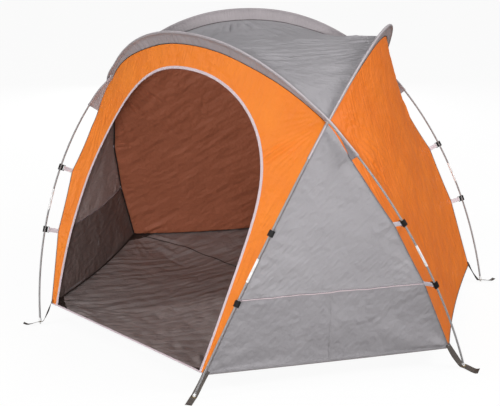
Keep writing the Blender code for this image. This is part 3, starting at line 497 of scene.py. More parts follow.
def turn(points, count):
    """Turn points about the middle of the plan by count thirds of a turn."""
    angle = count * 2 * math.pi / TURNS
    cosine, sine = math.cos(angle), math.sin(angle)
    matrix = np.array(((cosine, -sine, 0), (sine, cosine, 0), (0, 0, 1)))
    return np.asarray(points) @ matrix.T


def units(vectors):
    return vectors / np.linalg.norm(vectors, axis=-1, keepdims=True)


def smooth(share):
    share = np.clip(share, 0, 1)
    return share * share * (3 - 2 * share)


FRONT_RIGHT_FOOT = np.array((ORANGE_SIDE / 2, -APOTHEM, 0))
RIGHT_FOOT = turn(FRONT_RIGHT_FOOT * MIRROR_X, 1)
LEFT_FOOT = RIGHT_FOOT * MIRROR_X
REAR_RIGHT_FOOT = turn(FRONT_RIGHT_FOOT, 1)
TAIL_END_LEAN = (STRAP_TAIL_HEIGHT + STRAP_TAIL_CURL) * math.sin(ARCH_LEAN) / 2
PLAN_CENTRE = np.array((0, (APOTHEM - REAR_RIGHT_FOOT[1]) / 2 - TAIL_END_LEAN, 0))

sweep_angle = np.linspace(0, math.pi, ARCH_SAMPLES)
arch_along = (1 - np.sign(np.cos(sweep_angle)) * np.abs(np.cos(sweep_angle)) ** ARCH_ALONG_SHARE) / 2
arch_up = ARCH_RISE * np.clip(np.sin(sweep_angle), 0, 1) ** ARCH_UP_SHARE
ARCH_CURVE = LEFT_FOOT + np.outer(arch_along, RIGHT_FOOT - LEFT_FOOT) + np.outer(arch_up, LEAN)
arch_steps = np.linalg.norm(np.diff(ARCH_CURVE, axis=0), axis=1)
ARCH_LENGTHS = np.concatenate(((0,), np.cumsum(arch_steps)))
POLE_LENGTH = ARCH_LENGTHS[-1]
SECTION = POLE_LENGTH / POLE_SECTIONS
print("rod length", round(POLE_LENGTH, 3), "section", round(SECTION, 3))


# %% Places on an arch
def arch_points(along):
    return np.stack([np.interp(along, ARCH_LENGTHS, ARCH_CURVE[:, k]) for k in range(3)], axis=-1)


def arch_directions(along):
    step = POLE_LENGTH / ARCH_SAMPLES
    ahead = arch_points(np.minimum(along + step, POLE_LENGTH))
    return units(ahead - arch_points(np.maximum(along - step, 0)))


across_plane = np.array((math.sin(CROSSING_PLANE), math.cos(CROSSING_PLANE), 0))
half_way = ARCH_SAMPLES // 2
FAR_CROSSING = np.interp(0, (ARCH_CURVE @ across_plane)[half_way:], ARCH_LENGTHS[half_way:])
CROSSING = POLE_LENGTH - FAR_CROSSING
crossing_direction = arch_directions(np.array((FAR_CROSSING,)))[0]
other_direction = crossing_direction - 2 * (crossing_direction @ across_plane) * across_plane
crossing_up = units(np.cross(crossing_direction, other_direction))
CROSSING_UP = crossing_up * np.sign(crossing_up[2])
SLEEVE_MOUTH = CROSSING - SLEEVE_RUN_OUT


def from_foot(along):
    return np.minimum(along, POLE_LENGTH - along)


def crossing_ups(along):
    """The upward direction square to both rods at the crossing on this half of the arch."""
    right = (np.asarray(along) > POLE_LENGTH / 2)[..., None]
    return np.where(right, CROSSING_UP, CROSSING_UP * MIRROR_X)


def near_crossing(along):
    """One at a crossing, falling to zero over the lift's reach."""
    distance = np.abs(from_foot(along) - CROSSING) / POLE_LIFT_REACH
    return (1 + np.cos(math.pi * np.minimum(distance, 1))) / 2


def edge_offset(along):
    """How far the cloth's edge lies inside the rod."""
    up_leg = from_foot(along)
    shoulder = CROSSING - CROSSING_REACH
    ties = np.array((CORNER_ALONG, LOWER_TAB_ALONG, UPPER_TAB_ALONG, shoulder))
    offsets = np.array((CORNER_OFFSET, LOWER_TAB_OFFSET, UPPER_TAB_OFFSET, SHOULDER_OFFSET))
    stretch = np.clip(np.searchsorted(ties, up_leg, side="right") - 1, 0, len(ties) - 2)
    share = np.clip((up_leg - ties[stretch]) / (ties[stretch + 1] - ties[stretch]), 0, 1)
    low = np.interp(up_leg, ties, offsets) + EDGE_SCALLOP * 4 * share * (1 - share)
    run_in = smooth((CROSSING - up_leg) / CROSSING_REACH)
    middle = CROSSING_OFFSET + run_in * (SHOULDER_OFFSET - CROSSING_OFFSET)
    run_out = smooth((up_leg - CROSSING) / CREST_REACH)
    crest = CROSSING_OFFSET + run_out * (CREST_OFFSET - CROSSING_OFFSET)
    return np.where(up_leg >= CROSSING, crest, np.where(up_leg >= shoulder, middle, low))


def seam(along):
    """Points of the cloth's edge; at a crossing it runs under both rods."""
    along = np.asarray(along, float)
    inward = units(np.cross(arch_directions(along), ARCH_NORMAL))
    share = near_crossing(along)[..., None]
    direction = units((1 - share) * inward - share * crossing_ups(along))
    return arch_points(along) + edge_offset(along)[..., None] * direction


def rod_line(along, lifts):
    """The rod's own line, lifted or sunk where it passes another rod."""
    along = np.asarray(along, float)
    lift = np.where(along < POLE_LENGTH / 2, lifts[0], lifts[1])
    return arch_points(along) + crossing_ups(along) * (lift * POLE_LIFT * near_crossing(along))[..., None]


def rod_frame(along, lifts):
    """Centre, direction, the way to the seam and the way square to both."""
    along = np.asarray(along, float)
    step = POLE_LENGTH / ARCH_SAMPLES
    centre = rod_line(along, lifts)
    ahead = rod_line(np.minimum(along + step, POLE_LENGTH), lifts)
    direction = units(ahead - rod_line(np.maximum(along - step, 0), lifts))
    inward = units(np.cross(arch_directions(along), ARCH_NORMAL))
    above_corner = (from_foot(along) >= CORNER_ALONG)[..., None]
    towards = np.where(above_corner, seam(along) - centre, inward)
    towards = towards - np.sum(towards * direction, axis=-1, keepdims=True) * direction
    towards = units(towards)
    return centre, direction, towards, np.cross(direction, towards)


FEET = (("side_left", "side_right"), ("front_right", "rear_left"), ("rear_right", "front_left"))
ARCHES = (
    {"name": "front", "turn": 0, "lifts": (1, 1), "slits": (0.050, 0.156), "feet": FEET[0]},
    {"name": "right", "turn": 1, "lifts": (-1, 1), "slits": (0, 0.156), "feet": FEET[1]},
    {"name": "left", "turn": 2, "lifts": (-1, -1), "slits": (0, 0), "feet": FEET[2]},
)
print("crossing", round(CROSSING, 3), "m up each rod, at", seam(np.array((FAR_CROSSING,)))[0].round(3))

# %% [markdown]
# ## Sheets pulled tight
#
# Cloth stretched inside a frame takes the shape of a soap film: each point settles at
# the mean of its neighbours. For a sheet with four sides that is one small sum in
# linear algebra, solved along the sheet's own waves. A sheet with three sides has no
# such waves, so its points are solved together as one set of equations.

# %% Four-sided and three-sided sheets
CORNER_TO_LOWER_COUNT = 24
LOWER_TO_CROSSING_COUNT = 56
CREST_COUNT = 108
NEIGHBOURS = 6  # of each point inside a three-sided sheet

LEG = np.concatenate((
    np.linspace(CORNER_ALONG, LOWER_TAB_ALONG, CORNER_TO_LOWER_COUNT + 1)[:-1],
    np.linspace(LOWER_TAB_ALONG, CROSSING, LOWER_TO_CROSSING_COUNT + 1),
))
CREST = np.linspace(CROSSING, FAR_CROSSING, CREST_COUNT + 1)
LEFT_LEG_SEAM = seam(LEG)
RIGHT_LEG_SEAM = LEFT_LEG_SEAM * MIRROR_X
CREST_SEAM = seam(CREST)


def bottom_edge(start, end, count):
    """A bottom edge between two corners, drawn in and hanging a little."""
    inward = units(np.cross(UP, end - start))
    share = np.linspace(0, 1, count)[:, None]
    belly = 4 * share * (1 - share)
    return start + share * (end - start) + belly * (FLOOR_EDGE_DRAW * inward - FLOOR_EDGE_DROP * UP)


FRONT_BOTTOM = bottom_edge(turn(RIGHT_LEG_SEAM[0], 2), turn(LEFT_LEG_SEAM[0], 1), len(CREST))
SIDE_BOTTOM = bottom_edge(turn(LEFT_LEG_SEAM[0], 1), RIGHT_LEG_SEAM[0], len(LEG))


def waves(count):
    pull = 2 * np.eye(count) - np.eye(count, k=1) - np.eye(count, k=-1)
    return np.linalg.eigh(pull)


def taut_grid(left, right, bottom, top):
    """Rows of points from the bottom edge to the top edge, inside settled."""
    rows, columns = len(left), len(bottom)
    grid = np.zeros((rows, columns, 3))
    grid[:, 0], grid[:, -1], grid[0], grid[-1] = left, right, bottom, top
    pull = np.zeros((rows - 2, columns - 2, 3))
    pull[0] += grid[0, 1:-1]
    pull[-1] += grid[-1, 1:-1]
    pull[:, 0] += grid[1:-1, 0]
    pull[:, -1] += grid[1:-1, -1]
    row_values, row_waves = waves(rows - 2)
    column_values, column_waves = waves(columns - 2)
    for k in range(3):
        strength = row_waves.T @ pull[:, :, k] @ column_waves
        strength = strength / (row_values[:, None] + column_values[None])
        grid[1:-1, 1:-1, k] = row_waves @ strength @ column_waves.T
    return grid


def taut_rows(bottom, left, right):
    """Rows of a three-sided sheet, each one point shorter than the row below."""
    steps = len(bottom) - 1
    rows = [bottom] + [np.linspace(left[k], right[k], steps - k + 1) for k in range(1, steps)]
    rows.append(left[-1:])
    starts = np.concatenate(((0,), np.cumsum([len(row) for row in rows])))
    number, inner = {}, []
    for k in range(1, steps - 1):
        for j in range(1, steps - k):
            number[starts[k] + j] = len(inner)
            inner.append((k, j))
    points = np.concatenate(rows)
    matrix = NEIGHBOURS * np.eye(len(inner))
    known = np.zeros((len(inner), 3))
    for place, (k, j) in enumerate(inner):
        here = starts[k] + j
        below, over = starts[k - 1] + j, starts[k + 1] + j
        for other in (here - 1, here + 1, below, below + 1, over - 1, over):
            if other in number:
                matrix[place, number[other]] = -1
            else:
                known[place] += points[other]
    solved = np.linalg.solve(matrix, known)
    for place, (k, j) in enumerate(inner):
        rows[k][j] = solved[place]
    return rows


orange_grid = taut_grid(turn(RIGHT_LEG_SEAM, 2), turn(LEFT_LEG_SEAM, 1), FRONT_BOTTOM, CREST_SEAM)
grey_rows = taut_rows(SIDE_BOTTOM, turn(LEFT_LEG_SEAM, 1), RIGHT_LEG_SEAM)
roof_rows = taut_rows(CREST_SEAM, turn(CREST_SEAM, 2)[::-1], turn(CREST_SEAM, 1))
print("orange sheet", orange_grid.shape[:2], "grey rows", len(grey_rows), "roof rows", len(roof_rows))

# %% [markdown]
# ## From sheet to cloth
# A sheet becomes a mesh with a UV map in metres, its points are lifted into creases,
# and Solidify gives it a thickness. Its inside gets colours of its own, which paint in
# the light and shade seen inside the tent. Creases in a tight tent aren't random. They
# fan out from the places that pull: the corners, the tabs and the crossings. Each fan is
# a set of waves around its corner, strongest some way out and gone where the pull has
# spread.

# %% Helpers for cloth pieces
CLOTH_THICKNESS = 0.0007
EDGE_FADE = 0.016  # creases die out over this distance from a sewn edge's allowance
SEAM_ALLOWANCE = 0.007
FAN_SETBACK = 0.07  # the lines of a fan meet this far behind its corner
CREST_SETBACK = 0.30  # and this far behind a crest, which pulls along its whole length
FAN_RISE = 0.06  # a fan's creases reach their full depth this far out
CRINKLES = 320
CRINKLE_DEPTH = 0.0018
PUCKER_DEPTH = 0.0050
PUCKER_REACH = 0.030  # puckers die out over this distance from a sewn edge
PUCKER_BLEND = 0.006
PUCKER_WAVES = 8
PUCKER_LENGTHS = (0.016, 0.080)
SLACK_WAVES = 10
SLACK_LENGTHS = (0.10, 0.35)
CRINKLE_LENGTHS = (0.03, 0.12)
CRINKLE_WIDTHS = (0.005, 0.010)
CRINKLE_BEND = 4  # a crinkle bows aside by up to this much times its length squared
CRINKLE_REACH = 2.5  # a crinkle is gone this many of its lengths away
CREASE_SEED = 7
STEEP = 0.8  # a sheet is more a roof than a wall when its normal climbs this much
EDGE_BATCH = 512  # points measured at a time, to spare memory
TENT_HEART = np.array((0, 0, 0.4))


def set_uvs(mesh, uvs):
    """Store a UV map that has one place for each point of a mesh."""
    corners = np.zeros(len(mesh.loops), dtype=int)
    mesh.loops.foreach_get("vertex_index", corners)
    layer = mesh.uv_layers.new(name="cloth_place")
    layer.data.foreach_set("uv", np.asarray(uvs, float)[corners].ravel())


def mesh_piece(name, points, faces, uvs):
    """A smooth mesh object in the tent's own place, with a UV for each point."""
    mesh = bpy.data.meshes.new(name)
    mesh.from_pydata((np.asarray(points) + PLAN_CENTRE).tolist(), [], faces)
    set_uvs(mesh, uvs)
    mesh.shade_smooth()
    piece = bpy.data.objects.new(name, mesh)
    scene.collection.objects.link(piece)
    return piece


def plane_axes(points):
    """Level and upward directions of the flat that lies closest to some points."""
    middle = points.mean(axis=0)
    _, _, axes = np.linalg.svd(points - middle, full_matrices=False)
    normal = axes[2] if axes[2] @ (middle - TENT_HEART) > 0 else -axes[2]
    climbing = UP if abs(normal[2]) < STEEP else np.array((0, 1, 0))
    level = units(np.cross(climbing, normal))
    return middle, level, units(np.cross(normal, level))


def flattened(points, axes):
    middle, level, climb = axes
    return np.stack(((points - middle) @ level, (points - middle) @ climb), axis=-1)


# %% Creases
FAN_WAVES = 5  # each fan is the sum of this many sets of waves
FAN_SPACING = (0.6, 1.6)
FAN_BEND = 0.25
FAN_RIDGE_HEIGHT, FAN_RIDGE_POWER = 2.2, 1.25
FAN_FADE_POWER = 1.6
PATCH_LOW, PATCH_SWING = 0.65, 0.35  # a fan's creases come and go along their length
PATCH_OUT, PATCH_ROUND = (18, 30), (3, 9)


def fan(place, heading, size, strength=1.0, setback=FAN_SETBACK):
    """A fan of creases, from the corner it starts at and the point it heads for.

    Its size is its reach, its spread in degrees, its depth and its count of creases.
    """
    reach, spread, depth, count = size
    depth = depth * strength
    return {
        "place": np.asarray(place, float), "heading": np.asarray(heading, float), "reach": reach,
        "spread": math.radians(spread), "depth": depth, "count": count, "setback": setback,
    }


def fan_lift(flat, axes, crease, random):
    """How far a fan lifts each point: ridges that run out from behind its corner."""
    corner = flattened(crease["place"], axes)
    heading = units(flattened(crease["heading"], axes) - corner)
    away = flat - (corner - crease["setback"] * heading)
    distance = np.linalg.norm(away, axis=1)
    angle = np.arctan2(away[:, 1], away[:, 0]) - math.atan2(heading[1], heading[0])
    angle = (angle + math.pi) % (2 * math.pi) - math.pi
    wave = np.zeros(len(flat))
    for _ in range(FAN_WAVES):
        count = crease["count"] * random.uniform(*FAN_SPACING)
        bend = random.uniform(-FAN_BEND, FAN_BEND) * distance
        wave += np.cos(count * (angle + bend) + random.uniform(0, 2 * math.pi)) / FAN_WAVES
    ridged = FAN_RIDGE_HEIGHT * np.sign(wave) * np.abs(wave) ** FAN_RIDGE_POWER
    share = np.clip((distance - crease["setback"]) / crease["reach"], 0, 1)
    comes_and_goes = distance * random.uniform(*PATCH_OUT) + angle * random.uniform(*PATCH_ROUND)
    patchy = PATCH_LOW + PATCH_SWING * np.sin(comes_and_goes)
    window = np.cos(np.clip(angle / crease["spread"], -1, 1) * math.pi / 2) ** 2
    rise = smooth((distance - crease["setback"]) / FAN_RISE)
    return crease["depth"] * ridged * patchy * rise * (1 - share) ** FAN_FADE_POWER * window


def wave_lift(places, count, lengths, random):
    """A sum of waves that run all ways, with lengths between two limits."""
    lift = np.zeros(len(places))
    for _ in range(count):
        heading, length = random.uniform(0, 2 * math.pi), random.uniform(*lengths)
        phase = places @ np.array((math.cos(heading), math.sin(heading))) * 2 * math.pi / length
        lift += np.sin(phase + random.uniform(0, 2 * math.pi)) / count
    return lift


def crinkle_lift(flat, count, depth, random):
    """Short creases at random: the marks of a cloth that was folded into a bag."""
    lift = np.zeros(len(flat))
    low, high = flat.min(axis=0), flat.max(axis=0)
    for _ in range(count):
        middle = random.uniform(low, high)
        heading = random.uniform(0, math.pi)
        length, width = random.uniform(*CRINKLE_LENGTHS), random.uniform(*CRINKLE_WIDTHS)
        height = depth * random.uniform(-1, 1)
        bend = random.uniform(-CRINKLE_BEND, CRINKLE_BEND)
        away = flat - middle
        near = (np.abs(away) < CRINKLE_REACH * length).all(axis=1)
        over = away[near] @ np.array((math.cos(heading), math.sin(heading)))
        aside = away[near] @ np.array((-math.sin(heading), math.cos(heading))) + bend * over**2
        lift[near] += height * np.exp(-((over / length) ** 2) - (aside / width) ** 2)
    return lift


def to_edge(mesh, flat):
    """Each point's distance from the sheet's own edge, and the place on the edge it looks to."""
    counts = {}
    for polygon in mesh.polygons:
        for key in polygon.edge_keys:
            counts[key] = counts.get(key, 0) + 1
    rim = flat[np.array(sorted({v for key, count in counts.items() if count == 1 for v in key}))]
    distances, places = np.zeros(len(flat)), np.zeros((len(flat), 2))
    for start in range(0, len(flat), EDGE_BATCH):
        part = slice(start, start + EDGE_BATCH)
        gaps = ((flat[part, None] - rim[None]) ** 2).sum(axis=2)
        nearest = gaps.min(axis=1)
        weights = np.exp((nearest[:, None] - gaps) / (2 * PUCKER_BLEND**2))
        distances[part] = np.sqrt(nearest)
        places[part] = weights @ rim / weights.sum(axis=1, keepdims=True)
    return distances, places


def pucker_lift(distances, places, random):
    """Short waves square to a sewn edge, where the thread draws the cloth in."""
    waved = PUCKER_DEPTH * wave_lift(places, PUCKER_WAVES, PUCKER_LENGTHS, random)
    return waved * np.exp(-distances / PUCKER_REACH)


def mesh_points(mesh):
    points = np.zeros(len(mesh.vertices) * 3)
    mesh.vertices.foreach_get("co", points)
    return points.reshape(-1, 3)


def mesh_normals(mesh):
    normals = np.zeros(len(mesh.vertices) * 3)
    mesh.vertices.foreach_get("normal", normals)
    return normals.reshape(-1, 3)


def crease_sheet(
    piece, axes, fans, slack, fade=EDGE_FADE, only_up=False, rounds=1, marks=CRINKLE_DEPTH, pucker=1.0
):
    """Lift a sheet's points into fans of creases, crinkles, puckers and slow waves."""
    random = np.random.default_rng(CREASE_SEED + sum(map(ord, piece.name)))
    finer = piece.modifiers.new("finer", "SUBSURF")
    finer.subdivision_type = "SIMPLE"
    finer.levels = finer.render_levels = rounds
    mesh = baked(piece).data
    points = mesh_points(mesh) - PLAN_CENTRE
    flat = flattened(points, axes)
    lift = slack * wave_lift(flat, SLACK_WAVES, SLACK_LENGTHS, random)
    lift += crinkle_lift(flat, CRINKLES, marks, random)
    for each in fans:
        lift += fan_lift(flat, axes, each, random)
    distances, places = to_edge(mesh, flat)
    lift += pucker * pucker_lift(distances, places, random)
    if only_up:
        lift = np.abs(lift)
    lift *= smooth((distances - SEAM_ALLOWANCE) / fade)
    points += mesh_normals(mesh) * lift[:, None] + PLAN_CENTRE
    mesh.vertices.foreach_set("co", points.ravel())
    mesh.update()


# %% Helpers that finish a piece
def face_out(piece):
    """Turn a sheet's faces so that they point away from the middle of the tent."""
    mesh = piece.data
    outward = mesh_points(mesh) - TENT_HEART
    if (mesh_normals(mesh) * outward).sum() < 0:
        mesh.flip_normals()


def face_up(piece):
    if mesh_normals(piece.data)[:, 2].mean() < 0:
        piece.data.flip_normals()


def thicken(piece, outside, inside, thickness=CLOTH_THICKNESS, offset=0.0):
    """Give a sheet its thickness, with one finish outside and another inside."""
    piece.data.materials.append(outside)
    piece.data.materials.append(inside)
    solid = piece.modifiers.new("thickness", "SOLIDIFY")
    solid.thickness = thickness
    solid.offset = offset
    solid.material_offset = 1
    baked(piece)


def baked(piece):
    """Turn a piece and its modifiers into one plain mesh."""
    graph = bpy.context.evaluated_depsgraph_get()
    mesh = bpy.data.meshes.new_from_object(
        piece.evaluated_get(graph), preserve_all_data_layers=True, depsgraph=graph
    )
    mesh.name = piece.name
    piece.modifiers.clear()
    piece.data = mesh
    return piece


def in_tent(piece, slot_name, *replaced):
    """Fix a piece to the shell's body and hide the nodes it stands for; slot_name is not used."""
    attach(piece, SHELL_BODY)
    if replaced:
        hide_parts(*replaced)


def declare_sheet(piece, axes):
    """Lay a piece's points flat in its own plane; the result is not kept."""
    flat = flattened(mesh_points(piece.data) - PLAN_CENTRE, axes)


def grid_faces(rows, columns):
    faces = []
    for i in range(rows - 1):
        for j in range(columns - 1):
            here = i * columns + j
            faces.append((here, here + 1, here + columns + 1, here + columns))
    return faces


def triangle_faces(first_row_count):
    """Faces between rows that each have one point fewer than the row below."""
    faces, start, count = [], 0, first_row_count
    while count > 1:
        over = start + count
        for j in range(count - 1):
            faces.append((start + j, start + j + 1, over + j))
            if j > 0:
                faces.append((start + j, over + j, over + j - 1))
        start, count = over, count - 1
    return faces


# %% [markdown]
# ## Orange panels
#
# The two orange panels behind the door are whole sheets. Cloth is pulled hardest at
# their two upper corners, where the rods cross, so long creases run down from there.

# %% Rear orange panels
CROSSING_FAN = (0.50, 75, 0.0058, 58)
LONG_FAN = (0.95, 44, 0.0068, 60)
FOOT_FAN = (0.36, 70, 0.0055, 22)
TAB_FAN = (0.18, 80, 0.0048, 18)
REAR_STRENGTHS = {"rear_right": 1.0, "rear_left": 1.35}
REAR_SLACK = 0.005
LOWER_ROW = CORNER_TO_LOWER_COUNT
UPPER_ROW = int(np.argmin(np.abs(LEG - UPPER_TAB_ALONG)))


def orange_fans(grid, strength):
    """Fans from the crossings, the feet and the tabs of one orange panel."""
    third, half = len(grid) // 3, grid.shape[1] // 2
    fans = []
    for column, other in ((0, -1), (-1, 0)):
        fans.append(fan(grid[-1, column], grid[third, half], CROSSING_FAN, strength))
        fans.append(fan(grid[-1, column], grid[0, half // 2], LONG_FAN, strength))
        fans.append(fan(grid[0, column], grid[third, half], FOOT_FAN, strength))
        for row in (LOWER_ROW, UPPER_ROW):
            fans.append(fan(grid[row, column], grid[row, other], TAB_FAN, strength))
    return fans


for count, (name, strength) in enumerate(REAR_STRENGTHS.items(), start=1):
    grid = turn(orange_grid, count)
    axes = plane_axes(grid.reshape(-1, 3))
    points = grid.reshape(-1, 3)
    piece = mesh_piece(f"orange_cloth_{name}", points, grid_faces(*grid.shape[:2]), flattened(points, axes))
    face_out(piece)
    crease_sheet(piece, axes, orange_fans(grid, strength), REAR_SLACK)
    thicken(piece, ORANGE_REAR_SHADED, ORANGE_INSIDE_PAINTED_LIGHT)
    in_tent(piece, "orange_fabric", f"orange_panel_{name}")
    declare_sheet(piece, axes)

# %% [markdown]
# ## The door panel
#
# The front panel is the same tight sheet with an arched opening cut out of it. It is
# laid out as strips between the sewn edge and the edge of the opening, and each point
# is put back onto the tight sheet, so that the panel keeps its shape.

# %% Door panel
DOOR_HALF_WIDTH = 0.530
DOOR_FOOT_HALF_WIDTH = 0.485
DOOR_WIDEST_HEIGHT = 0.600
DOOR_TOP_BAND = 0.099
DOOR_ARCH_SHARE = 2.2
DOOR_HEIGHT = CREST_SEAM[:, 2].max() - DOOR_TOP_BAND
DOOR_STRIPS = 16
DOOR_SAMPLES = 1201
DOOR_FAN_STRENGTH = 0.8
DOOR_SLACK = 0.002
SETTLING_ROUNDS = 12


def door_outline():
    """The opening's edge as (x, z) points seen from the front, foot to foot."""
    foot = np.interp(-DOOR_FOOT_HALF_WIDTH, FRONT_BOTTOM[:, 0], FRONT_BOTTOM[:, 2])
    heights = foot + np.sin(np.linspace(0, math.pi / 2, DOOR_SAMPLES)) * (DOOR_HEIGHT - foot)
    rise = np.clip((heights - DOOR_WIDEST_HEIGHT) / (DOOR_HEIGHT - DOOR_WIDEST_HEIGHT), 0, 1)
    drop = np.clip((DOOR_WIDEST_HEIGHT - heights) / (DOOR_WIDEST_HEIGHT - FRONT_BOTTOM[0, 2]), 0, None)
    half_width = DOOR_HALF_WIDTH * (1 - rise**DOOR_ARCH_SHARE) ** (1 / DOOR_ARCH_SHARE)
    half_width -= (DOOR_HALF_WIDTH - DOOR_FOOT_HALF_WIDTH) * drop**2
    half = np.stack((-half_width, heights), axis=1)
    return np.concatenate((half, half[-2::-1] * (-1, 1)))


def line_lengths(line):
    return np.concatenate(((0,), np.cumsum(np.linalg.norm(np.diff(line, axis=0), axis=1))))


def at_shares(line, shares):
    lengths = line_lengths(line)
    places = np.asarray(shares) * lengths[-1]
    return np.stack([np.interp(places, lengths, line[:, k]) for k in range(line.shape[1])], axis=1)


def grid_at(grid, up, over):
    """Points of a grid between its rows and columns, and its slopes up and over there."""
    row = np.clip(up.astype(int), 0, grid.shape[0] - 2)
    column = np.clip(over.astype(int), 0, grid.shape[1] - 2)
    s, t = (up - row)[:, None], (over - column)[:, None]
    near, next_to = grid[row, column], grid[row, column + 1]
    over_near, over_next = grid[row + 1, column], grid[row + 1, column + 1]
    low = (1 - t) * near + t * next_to
    high = (1 - t) * over_near + t * over_next
    return (1 - s) * low + s * high, high - low, (1 - s) * (next_to - near) + s * (over_next - over_near)


def on_sheet(grid, wanted, up, over):
    """Move along the sheet until each point has the wanted x and z."""
    for _ in range(SETTLING_ROUNDS):
        place, climb, level = grid_at(grid, up, over)
        miss_x, miss_z = wanted[:, 0] - place[:, 0], wanted[:, 1] - place[:, 2]
        scale = climb[:, 0] * level[:, 2] - climb[:, 2] * level[:, 0]
        up = np.clip(up + (miss_x * level[:, 2] - miss_z * level[:, 0]) / scale, 0, grid.shape[0] - 1)
        over = np.clip(over + (miss_z * climb[:, 0] - miss_x * climb[:, 2]) / scale, 0, grid.shape[1] - 1)
    return grid_at(grid, up, over)[0], up, over


rows, columns = orange_grid.shape[:2]
outer = np.concatenate((orange_grid[:-1, 0], orange_grid[-1], orange_grid[-2::-1, -1]))
up = np.concatenate((np.arange(rows - 1.0), np.full(columns, rows - 1.0), np.arange(rows - 2.0, -1, -1)))
over = np.concatenate((np.zeros(rows - 1), np.arange(float(columns)), np.full(rows - 1, columns - 1.0)))
opening = at_shares(door_outline(), line_lengths(outer) / line_lengths(outer)[-1])
strips = [outer]
for step in range(1, DOOR_STRIPS + 1):
    share = step / DOOR_STRIPS
    wanted = (1 - share) * outer[:, (0, 2)] + share * opening
    place, up, over = on_sheet(orange_grid, wanted, up, over)
    strips.append(place)
strips = np.array(strips)
points = strips.reshape(-1, 3)
axes = plane_axes(points)
door_cloth = mesh_piece("door_cloth", points, grid_faces(*strips.shape[:2]), flattened(points, axes))
face_out(door_cloth)
crease_sheet(door_cloth, axes, orange_fans(orange_grid, DOOR_FAN_STRENGTH), DOOR_SLACK)
thicken(door_cloth, ORANGE, ORANGE_INSIDE_PAINTED_LIGHT)
in_tent(door_cloth, "orange_fabric", "door_panel")

# %% [markdown]
# ## Grey side panels and roof
#
# Each grey side is sewn from two pieces at the height of the lower clips, because the
# lower piece is a splash wall of its own. Its upper edge puckers where it is sewn.

# %% Grey side panels
GREY_CRINKLE_DEPTH = 0.0013
GREY_PUCKER = {"lower": 0.9, "upper": 1.6}
GREY_SLACK = 0.005
GREY_FANS = {
    "peak": (0.45, 60, 0.0034, 34), "foot": (0.70, 55, 0.0105, 9),
    "lower tab": (0.28, 80, 0.0055, 20), "upper tab": (0.22, 80, 0.0050, 18),
}
grey_seam_rows = {}


def grey_fans(rows):
    """Fans from the peak, the feet and the tabs of one grey side."""
    steps = len(rows) - 1
    middle = rows[steps // 3].mean(axis=0)
    fans = [fan(rows[-1][0], middle, GREY_FANS["peak"])]
    for end, other in ((0, -1), (-1, 0)):
        fans.append(fan(rows[0][end], rows[steps // 4][other], GREY_FANS["foot"]))
        fans.append(fan(rows[LOWER_ROW][end], rows[LOWER_ROW][other], GREY_FANS["lower tab"]))
        fans.append(fan(rows[UPPER_ROW][end], rows[UPPER_ROW][other], GREY_FANS["upper tab"]))
    return fans


for count, name in enumerate(("right", "rear", "left")):
    rows = [turn(row, count) for row in grey_rows]
    axes = plane_axes(np.concatenate(rows))
    fans = grey_fans(rows)
    for part, part_rows in (("lower", rows[: LOWER_ROW + 1]), ("upper", rows[LOWER_ROW:])):
        points = np.concatenate(part_rows)
        faces = [face for face in triangle_faces(len(part_rows[0])) if max(face) < len(points)]
        piece = mesh_piece(f"grey_cloth_{name}_{part}", points, faces, flattened(points, axes))
        face_out(piece)
        crease_sheet(piece, axes, fans, GREY_SLACK, marks=GREY_CRINKLE_DEPTH, pucker=GREY_PUCKER[part])
        thicken(piece, *((SPLASH, SPLASH_INSIDE_PAINTED_SHADE) if part == "lower" else (GREY, GREY_INSIDE_PAINTED_LIGHT)))
        in_tent(piece, "grey_fabric", f"grey_panel_{name}_{part}")
        declare_sheet(piece, axes)
    grey_seam_rows[name] = rows
print("grey sides", len(grey_seam_rows))

# %% [markdown]
# The roof hangs between the three crests. It is the slackest sheet, so its creases are
# the deepest: they run down from each crest, where the rod stands highest.

# %% Roof
CREST_FAN = (0.85, 80, 0.0085, 56)
ROOF_CORNER_FAN = (0.30, 60, 0.0030, 26)
ROOF_SLACK = 0.006

roof_points = np.concatenate(roof_rows)
roof_axes = plane_axes(roof_points)
crest_middle = CREST_SEAM[len(CREST_SEAM) // 2]
roof_fans = []
for count in range(TURNS):
    opposite = turn(seam(np.array((CROSSING,)))[0], count)
    crest = turn(crest_middle, count)
    roof_fans.append(fan(crest, (0, 0, crest_middle[2]), CREST_FAN, setback=CREST_SETBACK))
    roof_fans.append(fan(opposite, (0, 0, opposite[2]), ROOF_CORNER_FAN))
faces = triangle_faces(len(roof_rows[0]))
roof_cloth = mesh_piece("roof_cloth", roof_points, faces, flattened(roof_points, roof_axes))
face_out(roof_cloth)
crease_sheet(roof_cloth, roof_axes, roof_fans, ROOF_SLACK)
thicken(roof_cloth, GREY, GREY_INSIDE_PAINTED_LIGHT)
in_tent(roof_cloth, "grey_fabric", "roof_panel")
declare_sheet(roof_cloth, roof_axes)

# %% [markdown]
# ## Skins over cross-sections
#
# Sleeves, tapes, webbing and the floor's edge are all one idea: a cross-section
# carried along a line. The helper lays faces between the sections and a UV map that
# measures round the section and along the line, so that a weave keeps its size.

# %% Carrying a section along a line
SHARP_ANGLE = math.radians(42)
TAPE_EDGE = 0.0005  # a tape's edges are rounded over this much


def directions(line):
    ahead = np.concatenate((line[1:], line[-1:]))
    behind = np.concatenate((line[:1], line[:-1]))
    return units(ahead - behind)


def all_along(vector, line):
    """The same vector at every point of a line."""
    return np.broadcast_to(np.asarray(vector, float), line.shape)


def square_to(vectors, along):
    return units(vectors - np.sum(vectors * along, axis=-1, keepdims=True) * along)


